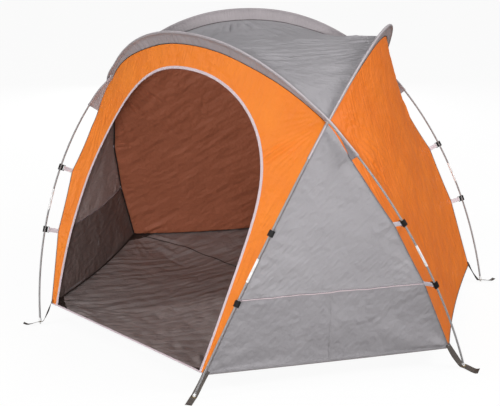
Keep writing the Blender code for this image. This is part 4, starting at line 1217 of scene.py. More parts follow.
def swept(name, sections, ring=True, capped=True):
    """Faces between cross-sections; a ring section closes on itself."""
    count, around = sections.shape[:2]
    faces = []
    for i in range(count - 1):
        here, over = i * around, (i + 1) * around
        for j in range(around if ring else around - 1):
            after = (j + 1) % around
            faces.append((here + j, here + after, over + after, over + j))
    if ring and capped:
        faces.append(tuple(range(around))[::-1])
        faces.append(tuple(range((count - 1) * around, count * around)))
    along = line_lengths(sections.mean(axis=1))
    sides = np.linalg.norm(np.diff(sections, axis=1), axis=2).mean(axis=0)
    over = np.concatenate(((0,), np.cumsum(sides)))
    uvs = np.stack(np.broadcast_arrays(over[None], along[:, None]), axis=-1)
    return mesh_piece(name, sections.reshape(-1, 3), faces, uvs.reshape(-1, 2))


def carried(line, outline, across):
    """Sections of an outline, its first axis across the line and its second square to it."""
    along = directions(line)
    across = square_to(across, along)
    normal = np.cross(along, across)
    outline = np.asarray(outline)
    return line[:, None] + outline[None, :, :1] * across[:, None] + outline[None, :, 1:] * normal[:, None]


def tape_outline(width, thickness, start=None):
    """A flat tape's outline, centred on the line or starting from it."""
    low = -width / 2 if start is None else start
    high = low + width
    flat, edge = thickness / 2, thickness / 4
    return (
        (low, -edge), (low + TAPE_EDGE, -flat), (high - TAPE_EDGE, -flat), (high, -edge),
        (high, edge), (high - TAPE_EDGE, flat), (low + TAPE_EDGE, flat), (low, edge),
    )


def upright(piece):
    """Turn a closed piece's faces outwards."""
    edit = bmesh.new()
    edit.from_mesh(piece.data)
    bmesh.ops.recalc_face_normals(edit, faces=edit.faces)
    edit.to_mesh(piece.data)
    edit.free()
    piece.data.set_sharp_from_angle(angle=SHARP_ANGLE)
    return piece


def tape(name, line, across, width, thickness, material, start=None):
    piece = swept(name, carried(line, tape_outline(width, thickness, start), across))
    piece.data.materials.append(material)
    return upright(piece)


# %% [markdown]
# ## Pole sleeves
#
# A sleeve is one strip of cloth folded over the rod. Its two edges meet, run down to
# the seam between two panels as a fin, and are sewn in there. Where two sleeves cross,
# the fin of the one on top is cut away to let the other through, and the front sleeve
# has a longer slit there. Past the crossing the fin widens again before the sleeve ends,
# square across the rod.

# %% Sleeves
ROD_RADIUS = 0.00425
SLEEVE_RADIUS = 0.0061
SLEEVE_CLOTH = 0.0006
SLEEVE_STEP = 0.006
FIN_HALF_GAP = 0.0006
FIN_POINTS = 10
TUBE_POINTS = 17
TUBE_OPEN_ANGLE = math.radians(36)
NECK_LENGTH = 0.006
FIN_POINT_POWER = 1.3  # its points stand closer together near the rod
FIN_WAVE_DEPTH = 0.0016
FIN_WAVES = 9
FIN_WAVE_LENGTHS = (0.018, 0.11)
FIN_WAVE_END = 0.92
TUBE_SWELL = 0.05
# How narrow the band of painted highlight on the sleeve's tube is.
HIGHLIGHT_SHARPNESS = 8.0
HIGHLIGHT_FLOOR = 6.8
MOUTH_HEM = (0, 0.005, 0.0098, 0.0102)  # the end of a sleeve is turned in and thicker
MOUTH_SWELL = 0.14
CREST_FIN_CLEAR, CREST_FIN_WHOLE = 0.0076, 0.0125
SLIT_START_SHARE = 0.25  # this much of a slit is open to its full depth


def fin_share(along, arch):
    """How much of the way to the seam the fin reaches, less beside a crossing.

    A sleeve that passes under another is sewn down right through the crossing. One that
    passes over has a notch there for the other sleeve, and below it is free of the shell
    for a stretch, longest at the right end of the front sleeve.
    """
    past = from_foot(along) - CROSSING
    crest = smooth((past - CREST_FIN_CLEAR) / (CREST_FIN_WHOLE - CREST_FIN_CLEAR))
    slit = np.maximum(np.where(along < POLE_LENGTH / 2, *arch["slits"]), CREST_FIN_WHOLE)
    leg = np.clip((-past / slit - SLIT_START_SHARE) / (1 - SLIT_START_SHARE), 0, 1)
    over = np.where(along < POLE_LENGTH / 2, *arch["lifts"]) > 0
    return np.where(over, np.where(past > 0, crest, leg), 1.0)


def sleeve_sections(arch, random):
    """Sections up one side of the fin, round the tube and down the other, and where the painted highlight
    lies.
    """
    hem = SLEEVE_MOUTH + np.array(MOUTH_HEM)
    along = np.arange(hem[-1] + SLEEVE_STEP, POLE_LENGTH - hem[-1], SLEEVE_STEP)
    along = np.concatenate((hem, along, (POLE_LENGTH - hem)[::-1]))
    thick = 1 + MOUTH_SWELL * (from_foot(along) < SLEEVE_MOUTH + MOUTH_HEM[-2])[:, None]
    centre, _, towards, across = rod_frame(along, arch["lifts"])
    neck_x = SLEEVE_RADIUS * math.cos(TUBE_OPEN_ANGLE)
    neck_h = SLEEVE_RADIUS * math.sin(TUBE_OPEN_ANGLE)
    whole = np.maximum(np.linalg.norm(seam(along) - centre, axis=1), neck_x)
    reach = neck_x + fin_share(along, arch) * (whole - neck_x)
    share = np.linspace(1, 0, FIN_POINTS) ** FIN_POINT_POWER
    x = neck_x + share[None] * (reach - neck_x)[:, None]
    fall = np.exp(-(((x - neck_x) / NECK_LENGTH) ** 2))
    h = (FIN_HALF_GAP + (neck_h - FIN_HALF_GAP) * fall) * thick
    wave = np.zeros(len(along))
    for _ in range(FIN_WAVES):
        length = random.uniform(*FIN_WAVE_LENGTHS)
        wave += np.sin(2 * math.pi * along / length + random.uniform(0, 2 * math.pi)) / FIN_WAVES
    sway = FIN_WAVE_DEPTH * 2 * wave[:, None] * np.sin(math.pi * np.clip(share, 0, FIN_WAVE_END))[None]
    angles = np.linspace(TUBE_OPEN_ANGLE, 2 * math.pi - TUBE_OPEN_ANGLE, TUBE_POINTS)[1:-1]
    swell = SLEEVE_RADIUS * thick * (1 + TUBE_SWELL * wave[:, None] * np.cos(angles)[None])
    tube_x, tube_h = swell * np.cos(angles), swell * np.sin(angles)
    xs = np.concatenate((x, tube_x, x[:, ::-1]), axis=1)
    hs = np.concatenate((h + sway, tube_h, (-h + sway)[:, ::-1]), axis=1)
    sections = centre[:, None] + xs[..., None] * towards[:, None] + hs[..., None] * across[:, None]
    # Painted highlight: full on the outer side of the tube, none on the fin.
    on_tube = np.clip(-np.cos(angles) * HIGHLIGHT_SHARPNESS - HIGHLIGHT_FLOOR, 0, 1)
    ridge = np.concatenate((np.zeros(FIN_POINTS), on_tube, np.zeros(FIN_POINTS)))
    return turn(sections, arch["turn"]), np.broadcast_to(ridge, sections.shape[:2])


for arch in ARCHES:
    random = np.random.default_rng(CREASE_SEED + arch["turn"])
    sections, ridge = sleeve_sections(arch, random)
    piece = swept(f"pole_sleeve_{arch['name']}", sections, ring=False)
    attribute = piece.data.attributes.new("ridge", "FLOAT", "POINT")
    attribute.data.foreach_set("value", ridge.ravel().astype(float))
    width = np.linalg.norm(np.diff(sections, axis=1), axis=2).sum(axis=1).max()
    crown_column = FIN_POINTS + TUBE_POINTS // 2
    length = max(line_lengths(sections[:, column])[-1] for column in (0, crown_column))
    thicken(piece, SLEEVE, SLEEVE, SLEEVE_CLOTH)
    in_tent(piece, "sleeve_fabric", f"sleeve_{arch['name']}")

# %% [markdown]
# ## Rods, as a geometry tree
#
# A rod is a line with a thickness at each point, so Geometry Nodes can make every
# round piece of the tent: rods, ferrules, pins and the beads of the seams. The tree
# takes a line mesh whose points carry the attribute girth, and sweeps a circle along it.

# %% The tree that makes round pieces
def started_tree(name, **inputs):
    """A tree that takes a line mesh and inputs of some kinds; gives the line's curve."""
    tree = bpy.data.node_groups.new(name, "GeometryNodeTree")
    tree.interface.new_socket("Geometry", in_out="INPUT", socket_type="NodeSocketGeometry")
    tree.interface.new_socket("Geometry", in_out="OUTPUT", socket_type="NodeSocketGeometry")
    for input_name, kind in inputs.items():
        tree.interface.new_socket(input_name, in_out="INPUT", socket_type=kind)
    given = node(tree, "NodeGroupInput").outputs
    curve = node(tree, "GeometryNodeMeshToCurve", {"Mesh": given["Geometry"]}).outputs["Curve"]
    return tree, given, curve


def ended_tree(tree, given, shape):
    """End a tree in plain geometry with the finish it was given."""
    real = node(tree, "GeometryNodeRealizeInstances", {"Geometry": shape}).outputs["Geometry"]
    finish = node(tree, "GeometryNodeSetMaterial", {"Geometry": real, "Material": given["Finish"]})
    node(tree, "NodeGroupOutput", {"Geometry": finish.outputs["Geometry"]})
    return tree


def round_tree():
    """Sweep a circle along the line, as thick at each point as its girth says."""
    tree, given, curve = started_tree("round_bar", Facets="NodeSocketInt", Finish="NodeSocketMaterial")
    circle = node(tree, "GeometryNodeCurvePrimitiveCircle", {"Resolution": given["Facets"], "Radius": 1})
    girth = node(tree, "GeometryNodeInputNamedAttribute", {"Name": "girth"}, data_type="FLOAT")
    skin = node(tree, "GeometryNodeCurveToMesh", {
        "Curve": curve, "Profile Curve": circle.outputs["Curve"],
        "Scale": girth.outputs["Attribute"], "Fill Caps": True,
    })
    return ended_tree(tree, given, skin.outputs["Mesh"])


ROUND_TREE = round_tree()
ROD_FACETS = 16


def line_piece(name, lines, girths=None):
    """Points joined into open lines, for a tree to follow."""
    points = np.concatenate(lines)
    edges, start = [], 0
    for line in lines:
        edges += [(start + k, start + k + 1) for k in range(len(line) - 1)]
        start += len(line)
    mesh = bpy.data.meshes.new(name)
    mesh.from_pydata((points + PLAN_CENTRE).tolist(), edges, [])
    if girths is not None:
        attribute = mesh.attributes.new("girth", "FLOAT", "POINT")
        attribute.data.foreach_set("value", np.concatenate(girths).astype(float))
    piece = bpy.data.objects.new(name, mesh)
    scene.collection.objects.link(piece)
    return piece


def grown(piece, tree, **inputs):
    """Run a tree on a piece with its named inputs set, and keep the plain mesh."""
    modifier = piece.modifiers.new(tree.name, "NODES")
    modifier.node_group = tree
    for item in tree.interface.items_tree:
        if item.item_type == "SOCKET" and item.in_out == "INPUT" and item.name in inputs:
            modifier[item.identifier] = inputs[item.name]
    return baked(piece)


def along_uvs(piece, lines, facets):
    """A UV map for a swept bar: round it, and along it, in metres."""
    mesh = piece.data
    places = np.concatenate([np.repeat(line_lengths(line), facets) for line in lines])
    around = np.tile(np.arange(facets) / facets, sum(len(line) for line in lines))
    rim = 2 * math.pi * ROD_RADIUS
    set_uvs(mesh, np.stack((around * rim, places), axis=1))


def round_bar(name, lines, girths, material, facets=ROD_FACETS):
    piece = grown(line_piece(name, lines, girths), ROUND_TREE, Facets=facets, Finish=material)
    along_uvs(piece, lines, facets)
    piece.data.shade_smooth()
    piece.data.set_sharp_from_angle(angle=SHARP_ANGLE)
    return piece


def even_bar(name, lines, radius, material, facets):
    """A round piece that is equally thick all along."""
    return round_bar(name, lines, [np.full(len(line), radius) for line in lines], material, facets)


# %% Rods and ferrules
FERRULE_RADIUS = 0.0054
FERRULE_SOCKET = 0.045
FERRULE_GRIP = 0.055
FERRULE_LIP = 0.0008
FERRULE_GROOVE = 0.0005
FERRULE_GROOVE_INSET = 0.008
FERRULE_GROOVE_STEPS = ((-0.0016, 0), (-0.0007, 1), (0.0007, 1), (0.0016, 0))
EDGE_STEP = 0.0002
PIN_RADIUS = 0.0025
PIN_TIP_RADIUS = 0.0012
PIN_TIP_MIDDLE_RADIUS = 0.0021
PIN_TIP_RISE = 0.002
PIN_TIP_LENGTH = 0.003
SHOULDER_START = 0.0154
SHOULDER_RADIUS = 0.006
SHOULDER_LENGTH = 0.009
SHOULDER_TAPER = 0.006
TAPER_LIP = 0.0003
TAPER_SINK = 0.0004
ROD_STEP = 0.008
CROWN_INSET = 0.02

shoulder_end = SHOULDER_START + SHOULDER_LENGTH
taper_end = shoulder_end + SHOULDER_TAPER
foot_profile = (
    (PIN_TIP_RISE, PIN_TIP_RADIUS), (PIN_TIP_RISE + PIN_TIP_LENGTH / 2, PIN_TIP_MIDDLE_RADIUS),
    (PIN_TIP_RISE + PIN_TIP_LENGTH, PIN_RADIUS), (SHOULDER_START - EDGE_STEP, PIN_RADIUS),
    (SHOULDER_START, SHOULDER_RADIUS - FERRULE_LIP), (SHOULDER_START + FERRULE_LIP, SHOULDER_RADIUS),
    (shoulder_end, SHOULDER_RADIUS), (taper_end, ROD_RADIUS + EDGE_STEP),
    (taper_end + TAPER_LIP, ROD_RADIUS - TAPER_SINK),
)
low, high = SECTION - FERRULE_SOCKET, SECTION + FERRULE_GRIP
lip_radius = FERRULE_RADIUS - FERRULE_LIP / 2
ferrule_profile = [(low, ROD_RADIUS), (low + EDGE_STEP, lip_radius), (low + FERRULE_LIP, FERRULE_RADIUS)]
for groove in (low + FERRULE_GROOVE_INSET, SECTION, high - FERRULE_GROOVE_INSET):
    for step, depth in FERRULE_GROOVE_STEPS:
        ferrule_profile.append((groove + step, FERRULE_RADIUS - depth * FERRULE_GROOVE))
ferrule_profile += [(high - FERRULE_LIP, FERRULE_RADIUS), (high, lip_radius), (high + EDGE_STEP, ROD_RADIUS)]
leg_profile = [(place, ROD_RADIUS) for place in np.arange(shoulder_end, SECTION, ROD_STEP)]
crown_places = np.arange(SECTION + CROWN_INSET, POLE_LENGTH - SECTION - CROWN_INSET, ROD_STEP)
crown_profile = [(place, ROD_RADIUS) for place in crown_places]


def bar_on_arch(name, arch, profile, from_end, material):
    """A round piece on a rod's line, from its places along the rod and their radii."""
    along, girth = (np.array(values) for values in zip(*profile))
    along = POLE_LENGTH - along if from_end else along
    line = turn(rod_line(along, arch["lifts"]), arch["turn"])
    return round_bar(name, (line,), (girth,), material)


for arch in ARCHES:
    for foot, from_end in zip(arch["feet"], (False, True)):
        pin = bar_on_arch(f"rod_foot_{foot}", arch, foot_profile, from_end, FERRULE)
        in_tent(pin, "pole_fibreglass")
        piece = bar_on_arch(f"rod_leg_{foot}", arch, leg_profile, from_end, ROD)
        in_tent(piece, "pole_fibreglass", f"pole_section_{foot}")
        ferrule = bar_on_arch(f"rod_ferrule_{foot}", arch, ferrule_profile, from_end, FERRULE)
        in_tent(ferrule, "pole_fibreglass")
    piece = bar_on_arch(f"rod_crown_{arch['name']}", arch, crown_profile, False, ROD)
    in_tent(piece, "pole_fibreglass", f"pole_crown_{arch['name']}")
print("rods", TURNS, "of", round(POLE_LENGTH, 2), "m, each in", POLE_SECTIONS, "sections")

# %% [markdown]
# ## Groundsheet
#
# The floor is a heavier coated cloth, sewn to the walls a hand's width above the
# ground, so its edge climbs all round. It is laid out in rings about its middle. Its
# creases only rise, because the ground is under it.

# %% Groundsheet
FLOOR_CLOTH_THICKNESS = 0.0009
FLOOR_RISE_WIDTH = 0.440
FLOOR_CLIMB_POWER = 1.6  # 1 is a straight climb, more sags
FLOOR_RINGS = 84
FLOOR_SIDE_COUNT = 76
FLOOR_CORNER_FAN = (0.80, 65, 0.0110, 24)
FLOOR_SIDE_FAN = (0.45, 80, 0.0060, 16)
FLOOR_SLACK = 0.012
FLOOR_FADE = 0.03

front_edge = bottom_edge(FRONT_BOTTOM[0], FRONT_BOTTOM[-1], FLOOR_SIDE_COUNT + 1)
side_edge = bottom_edge(SIDE_BOTTOM[0], SIDE_BOTTOM[-1], FLOOR_SIDE_COUNT + 1)
third = np.concatenate((front_edge[:-1], side_edge[:-1]))
floor_edge = np.concatenate([turn(third, k) for k in range(TURNS)])
distance = np.linalg.norm(floor_edge[:, :2], axis=1)
floor_rings = []
for k in range(FLOOR_RINGS):
    share = 1 - k / FLOOR_RINGS
    ring = floor_edge * share
    drawn = np.clip((1 - share) * distance / FLOOR_RISE_WIDTH, 0, 1)
    ring[:, 2] = floor_edge[:, 2] * (1 - drawn) ** FLOOR_CLIMB_POWER
    floor_rings.append(ring)
count = len(floor_edge)
faces = []
for ring_start in range(0, (FLOOR_RINGS - 1) * count, count):
    for k in range(count):
        here, after = ring_start + k, ring_start + (k + 1) % count
        faces.append((here, after, after + count, here + count))
last_ring = (FLOOR_RINGS - 1) * count
faces += [(last_ring + k, last_ring + (k + 1) % count, last_ring + count) for k in range(count)]
floor_points = np.concatenate(floor_rings + [np.zeros((1, 3))])
floor_axes = (np.zeros(3), np.array((1, 0, 0)), np.array((0, 1, 0)))
groundsheet = mesh_piece("floor_cloth", floor_points, faces, floor_points[:, :2])
face_up(groundsheet)
floor_fans = []
for corner in range(0, count, FLOOR_SIDE_COUNT):
    floor_fans.append(fan(floor_edge[corner], (0, 0, 0), FLOOR_CORNER_FAN))
    middle = floor_edge[(corner + FLOOR_SIDE_COUNT // 2) % count]
    floor_fans.append(fan(middle, (0, 0, 0), FLOOR_SIDE_FAN))
crease_sheet(groundsheet, floor_axes, floor_fans, FLOOR_SLACK, FLOOR_FADE, only_up=True, rounds=0)
thicken(groundsheet, FLOOR_CLOTH, FLOOR_UNDERSIDE, FLOOR_CLOTH_THICKNESS, 1.0)
in_tent(groundsheet, "floor_fabric", "groundsheet")
width, length = np.ptp(floor_edge[:, :2], axis=0)

# %% The floor's cross seam, made dark to also paint a fold's shade, and dark corner triangles
FLOOR_SEAM_WIDTH = 0.008
FLOOR_SEAM_THICKNESS = 0.0016
FLOOR_SEAM_SAMPLES = 220
FLOOR_SEAM_BOW = 0.20  # the seam bows towards the back by this much
RAY_START = 0.08
SILL_INSET = 0.016
PATCH_STEPS = 8
PATCH_THICKNESS = 0.0012


def laid_on(piece, line, away, proud):
    """Move a line's points straight in until they lie on a piece, this far proud of it."""
    faces = [tuple(polygon.vertices) for polygon in piece.data.polygons]
    tree = BVHTree.FromPolygons(mesh_points(piece.data).tolist(), faces)
    laid = []
    for point, out in zip(line + PLAN_CENTRE, away):
        hit = tree.ray_cast(Vector(point + RAY_START * out), Vector(-out))[0]
        laid.append(point if hit is None else np.array(hit) + proud * out)
    return np.array(laid) - PLAN_CENTRE


side_corner = floor_edge[np.argmax(floor_edge[:, 0])]
half_width = side_corner[0] - SILL_INSET
floor_seam_line = np.zeros((FLOOR_SEAM_SAMPLES, 3))
floor_seam_line[:, 0] = np.linspace(-half_width, half_width, FLOOR_SEAM_SAMPLES)
floor_seam_line[:, 1] = side_corner[1] + FLOOR_SEAM_BOW * (1 - (floor_seam_line[:, 0] / half_width) ** 4)
floor_seam_line[:, 2] = side_corner[2]
upwards = all_along(UP, floor_seam_line)
floor_seam_line = laid_on(groundsheet, floor_seam_line, upwards, FLOOR_SEAM_THICKNESS / 2)
# A seam tape across the floor, made dark so that it also paints the shade of the floor's fold.
floor_seam = tape(
    "floor_seam", floor_seam_line, all_along((0, 1, 0), floor_seam_line),
    FLOOR_SEAM_WIDTH, FLOOR_SEAM_THICKNESS, DARK_TAPE_AND_SHADE,
)
in_tent(floor_seam, "floor_fabric")
print("floor seam", round(2 * half_width, 2), "m")

# Dark triangles of tape laid over the floor at each corner.
for number, corner in enumerate(range(0, count, FLOOR_SIDE_COUNT)):
    rows = [floor_edge[corner : corner + 1]]
    for step in range(1, PATCH_STEPS + 1):
        ends = floor_edge[(corner - step) % count], floor_edge[(corner + step) % count]
        rows.append(np.linspace(*ends, step + 1))
    points = np.concatenate(rows[::-1])
    points = laid_on(groundsheet, points, all_along(UP, points), PATCH_THICKNESS / 2)
    dark_corner = mesh_piece(f"corner_patch_{number}", points, triangle_faces(PATCH_STEPS + 1), points[:, :2])
    face_up(dark_corner)
    thicken(dark_corner, DARK_TAPE_AND_SHADE, DARK_TAPE_AND_SHADE, PATCH_THICKNESS, 1.0)
    in_tent(dark_corner, "floor_fabric")
    side = np.linalg.norm(rows[-1][0] - rows[-1][-1])

# %% [markdown]
# ## Tapes, welts and hems
#
# A pale tape with a bead in its fold binds the door's opening. The seams down the legs
# have a thin bead outside, the seams under the crests a painted shadow line on each side
# of the sleeve, and all of them a dark bound fin inside. The bottom edges end in narrow hems.

# %% Door binding
BINDING_WIDTH = 0.0085
BINDING_THICKNESS = 0.0020
BEAD_RADIUS = 0.0023
BEAD_PLACE = 0.0019
BEAD_POINTS = 15

bead_open = math.asin(BINDING_THICKNESS / 2 / BEAD_RADIUS)
bead_angles = np.linspace(math.pi + bead_open, 3 * math.pi - bead_open, BEAD_POINTS)
bead = [(BEAD_PLACE + BEAD_RADIUS * math.cos(a), BEAD_RADIUS * math.sin(a)) for a in bead_angles]
flat = BINDING_THICKNESS / 2
binding_outline = [(-BINDING_WIDTH + TAPE_EDGE, -flat)] + bead + [(-BINDING_WIDTH + TAPE_EDGE, flat)]
binding_outline += [(-BINDING_WIDTH, flat / 2), (-BINDING_WIDTH, -flat / 2)]
door_edge = strips[-1]
door_binding = swept("door_binding", carried(door_edge, binding_outline, door_edge - strips[-2]))
door_binding.data.materials.append(PALE_TAPE)
upright(door_binding)
in_tent(door_binding, "piping_tape", "door_piping")
print("door binding", round(line_lengths(door_edge)[-1], 2), "m")

# %% Beads and inner fins along the seams
WELT_RADIUS = 0.0019
WELT_PROUD = 0.0008
INNER_FIN_HEIGHT = 0.010
INNER_FIN_THICKNESS = 0.0022
HEM_BEAD_RADIUS = 0.0022
SHADOW_LINE_RADIUS = 0.0009  # the shadow line beside a seam
HEM_TAPE_WIDTH = 0.012
SILL_WIDTH = 0.005  # the pale tape on the door's sill shows less of itself
SILL_THICKNESS = 0.0018
HEM_RISE = 0.0012
HEM_SLANT = 0.35
BEAD_FACETS = 10
SHADOW_LINE_FACETS = 6
LEG_BEAD_SAMPLES = 130
LEG_BEAD_RUN_IN = 0.01  # the bead runs this far into the sleeve's mouth
CREST_SAMPLES = 240
INNER_FIN_SAMPLES = 420

leg_along = np.linspace(CORNER_ALONG, SLEEVE_MOUTH + LEG_BEAD_RUN_IN, LEG_BEAD_SAMPLES)
crest_along = np.linspace(SLEEVE_MOUTH, POLE_LENGTH - SLEEVE_MOUTH, CREST_SAMPLES)
inner_along = np.linspace(CORNER_ALONG, POLE_LENGTH - CORNER_ALONG, INNER_FIN_SAMPLES)
leg_in = units(np.cross(arch_directions(leg_along), ARCH_NORMAL))
inner_in = units(np.cross(arch_directions(inner_along), ARCH_NORMAL))
inner_share = near_crossing(inner_along)[:, None]
inner_in = units((1 - inner_share) * inner_in - inner_share * crossing_ups(inner_along))
welts = []
for arch in ARCHES:
    left = seam(leg_along) - WELT_PROUD * leg_in
    welts += [turn(left, arch["turn"]), turn(left * MIRROR_X, arch["turn"])]
    line = turn(seam(inner_along), arch["turn"])
    inner = tape(
        f"inner_seam_{arch['name']}", line, turn(inner_in, arch["turn"]),
        INNER_FIN_HEIGHT, INNER_FIN_THICKNESS, DARK_TAPE_AND_SHADE, start=0.0,
    )
    in_tent(inner, "dark_webbing")
leg_welts = even_bar("leg_seam_beads", welts, WELT_RADIUS, GREY_TAPE, BEAD_FACETS)
in_tent(leg_welts, "grey_fabric")
# Dark lines on each side of the crest sleeves: painted shadow under the sleeve's fin.
crests = []
for arch in ARCHES:
    _, _, towards, across = rod_frame(crest_along, arch["lifts"])
    for side in (-1, 1):
        line = seam(crest_along) + SHADOW_LINE_RADIUS * (side * 2 * across - towards)
        crests.append(turn(line[from_foot(crest_along) > CROSSING + CREST_FIN_WHOLE], arch["turn"]))
crest_painted_shadows = even_bar("crest_seam_grooves", crests, SHADOW_LINE_RADIUS, DARK_TAPE_AND_SHADE, SHADOW_LINE_FACETS)
in_tent(crest_painted_shadows, "dark_webbing")
print("seam beads", len(welts), "crest lines", len(crests))

# %% Hems
wall_sills = [turn(front_edge, 1), turn(front_edge, 2)] + [turn(side_edge, count) for count in range(TURNS)]
for name, sills, material, slot_name in (
    ("door_sill_bead", [front_edge], PALE_TAPE, "piping_tape"),
    ("wall_hem_beads", wall_sills, GREY_TAPE, "grey_fabric"),
):
    in_tent(even_bar(name, sills, HEM_BEAD_RADIUS, material, BEAD_FACETS), slot_name)
for count in range(TURNS):
    for edge, name in ((front_edge, "front"), (side_edge, "side")):
        line = turn(edge, count) + np.array((0, 0, HEM_RISE))
        across = units(-line * np.array((1, 1, 0))) + HEM_SLANT * UP
        at_door = (name, count) == ("front", 0)
        width, material = (SILL_WIDTH, PALE_TAPE) if at_door else (HEM_TAPE_WIDTH, DARK_TAPE_AND_SHADE)
        hem = tape(f"{name}_hem_{count}", line, across, width, SILL_THICKNESS, material, start=0.0)
        in_tent(hem, "dark_webbing")
print("hems", 2 * TURNS)

# %% Cross seams of the grey sides
SEAM_TAPE_WIDTH = 0.006
SEAM_TAPE_THICKNESS = 0.0016
SEAM_FOLD_WIDTH = 0.010
SEAM_FOLD_THICKNESS = 0.0014
SEAM_SAMPLES = 160
UPRIGHT_FOLD_THICKNESS = 0.0009
SPLASH_WELT_RADIUS = 0.0030
HEM_FOLD_WIDTH = 0.013
HEM_FOLD_THICKNESS = 0.0012
SHADOW_LINE_RISE = 0.0024
SEAM_SWAY = 0.0016  # a sewn line never runs quite straight
SEAM_SWAY_TURNS = (23, 61)
SEAM_SHADOW_FACETS = 8
SEAM_TAPE_SLANT = 0.4
HEM_THREAD_INSET = 0.0025

upright_seams, splash_seams, grey_threads = {}, {}, []
for name, rows in grey_seam_rows.items():
    row = rows[LOWER_ROW]
    away = units(np.cross(directions(row), UP))
    if (away[len(away) // 2] @ (row.mean(axis=0) * (1, 1, 0))) < 0:
        away = -away
    shares = np.linspace(0, 1, SEAM_SAMPLES)
    climb = units(rows[LOWER_ROW + 1].mean(axis=0) - row.mean(axis=0))
    slow, quick = (turns * shares for turns in SEAM_SWAY_TURNS)
    sway = SEAM_SWAY * np.sin(math.pi * shares) * (np.sin(slow + 1) + np.sin(quick) / 2)
    line = at_shares(row, shares) + sway[:, None] * climb
    away = units(at_shares(away, shares))
    welt = even_bar(f"splash_seam_{name}", (line,), SPLASH_WELT_RADIUS, PALE_TAPE, BEAD_FACETS)
    in_tent(welt, "grey_fabric")
    fold = tape(
        f"splash_seam_fold_{name}", line + SEAM_FOLD_THICKNESS / 2 * away, all_along(climb, line),
        SEAM_FOLD_WIDTH, SEAM_FOLD_THICKNESS, GREY, start=SHADOW_LINE_RISE,
    )
    in_tent(fold, "grey_fabric")
    # A thin dark bar just above the welt: painted shadow where the upper panel meets the bead.
    painted_shadow_line = line + SHADOW_LINE_RISE * climb + SHADOW_LINE_RADIUS * away
    groove = even_bar(
        f"splash_seam_groove_{name}", (painted_shadow_line,), SHADOW_LINE_RADIUS, DARK_TAPE_AND_SHADE, SEAM_SHADOW_FACETS
    )
    in_tent(groove, "dark_webbing")
    splash_seams[name] = (line, away, climb)
    hem_line = at_shares(rows[0], shares) + HEM_FOLD_THICKNESS / 2 * away
    hem_climb = all_along(units(rows[1].mean(axis=0) - rows[0].mean(axis=0)), hem_line)
    fold = tape(
        f"side_hem_fold_{name}", hem_line, hem_climb, HEM_FOLD_WIDTH, HEM_FOLD_THICKNESS, SPLASH, start=0.0
    )
    in_tent(fold, "grey_fabric")
    thread_rise = (HEM_FOLD_WIDTH - HEM_THREAD_INSET) * hem_climb
    grey_threads.append(hem_line + thread_rise + HEM_FOLD_THICKNESS / 2 * away)
    inner = tape(
        f"splash_seam_inside_{name}", line, SEAM_TAPE_SLANT * UP - away,
        SEAM_TAPE_WIDTH, SEAM_TAPE_THICKNESS, DARK_TAPE_AND_SHADE, start=0.0,
    )
    in_tent(inner, "dark_webbing")
    upright_line = np.array([at_shares(r, (0.5,))[0] for r in rows[: LOWER_ROW + 1]])
    out = all_along(away[SEAM_SAMPLES // 2], upright_line)
    splash_wall = bpy.data.objects[f"grey_cloth_{name}_lower"]
    upright_line = laid_on(splash_wall, upright_line, out, UPRIGHT_FOLD_THICKNESS / 4)
    upright_seams[name] = (upright_line, out)
    fold = tape(
        f"upright_seam_{name}", upright_line, all_along(row[-1] - row[0], upright_line),
        SEAM_FOLD_WIDTH, UPRIGHT_FOLD_THICKNESS, SPLASH,
    )
    in_tent(fold, "grey_fabric")
print("cross seams", len(grey_seam_rows))

# %% [markdown]
# ## Clips
#
# A clip is moulded in one piece: a hook as long as a thumb is wide that snaps over the
# rod, and a fork whose ends hold a thin bar. The hook is drawn as arcs about the bar,
# so that the clip can swing off the rod. A small bevel gives the edges their shine.

# %% Clip
CLIP_BAR_OFFSET = 0.018
CLIP_WALL = 0.0022
CLIP_GAP = 0.0005
CLIP_HOOK_WIDTH = 0.0265
CLIP_HOOK_WALL = 0.0044
CLIP_PLATE_HALF = 0.0024
CLIP_MOUTH_LENGTH = 0.0065
CLIP_BAR_RADIUS = 0.0016
CLIP_SLOT = 0.0055
CLIP_SLOT_WIDTH = 0.0224
CLIP_CHEEK_HALF = 0.0020
CLIP_BEVEL = 0.0006
HOOK_STEPS = 9
CLIP_BAR_FACETS = 16


def circle_outline(radius, facets):
    angles = np.linspace(0, 2 * math.pi, facets + 1)[:-1]
    return [(radius * math.cos(angle), radius * math.sin(angle)) for angle in angles]


def prism(name, outline, low, high):
    """A solid of one outline between two heights."""
    sections = np.array([[(x, y, z) for x, y in outline] for z in (low, high)])
    piece = swept(name, sections - PLAN_CENTRE)
    return upright(piece)


def slab(low, high):
    """A block between two opposite corners."""
    (x0, y0, z0), (x1, y1, z1) = low, high
    return prism("slab", ((x0, y0), (x1, y0), (x1, y1), (x0, y1)), z0, z1)


def bar_arc(radius, start, end):
    """Points of an arc about the clip's bar."""
    angles = np.linspace(start, end, HOOK_STEPS + 1)
    return [(radius * math.cos(a), radius * math.sin(a)) for a in angles]


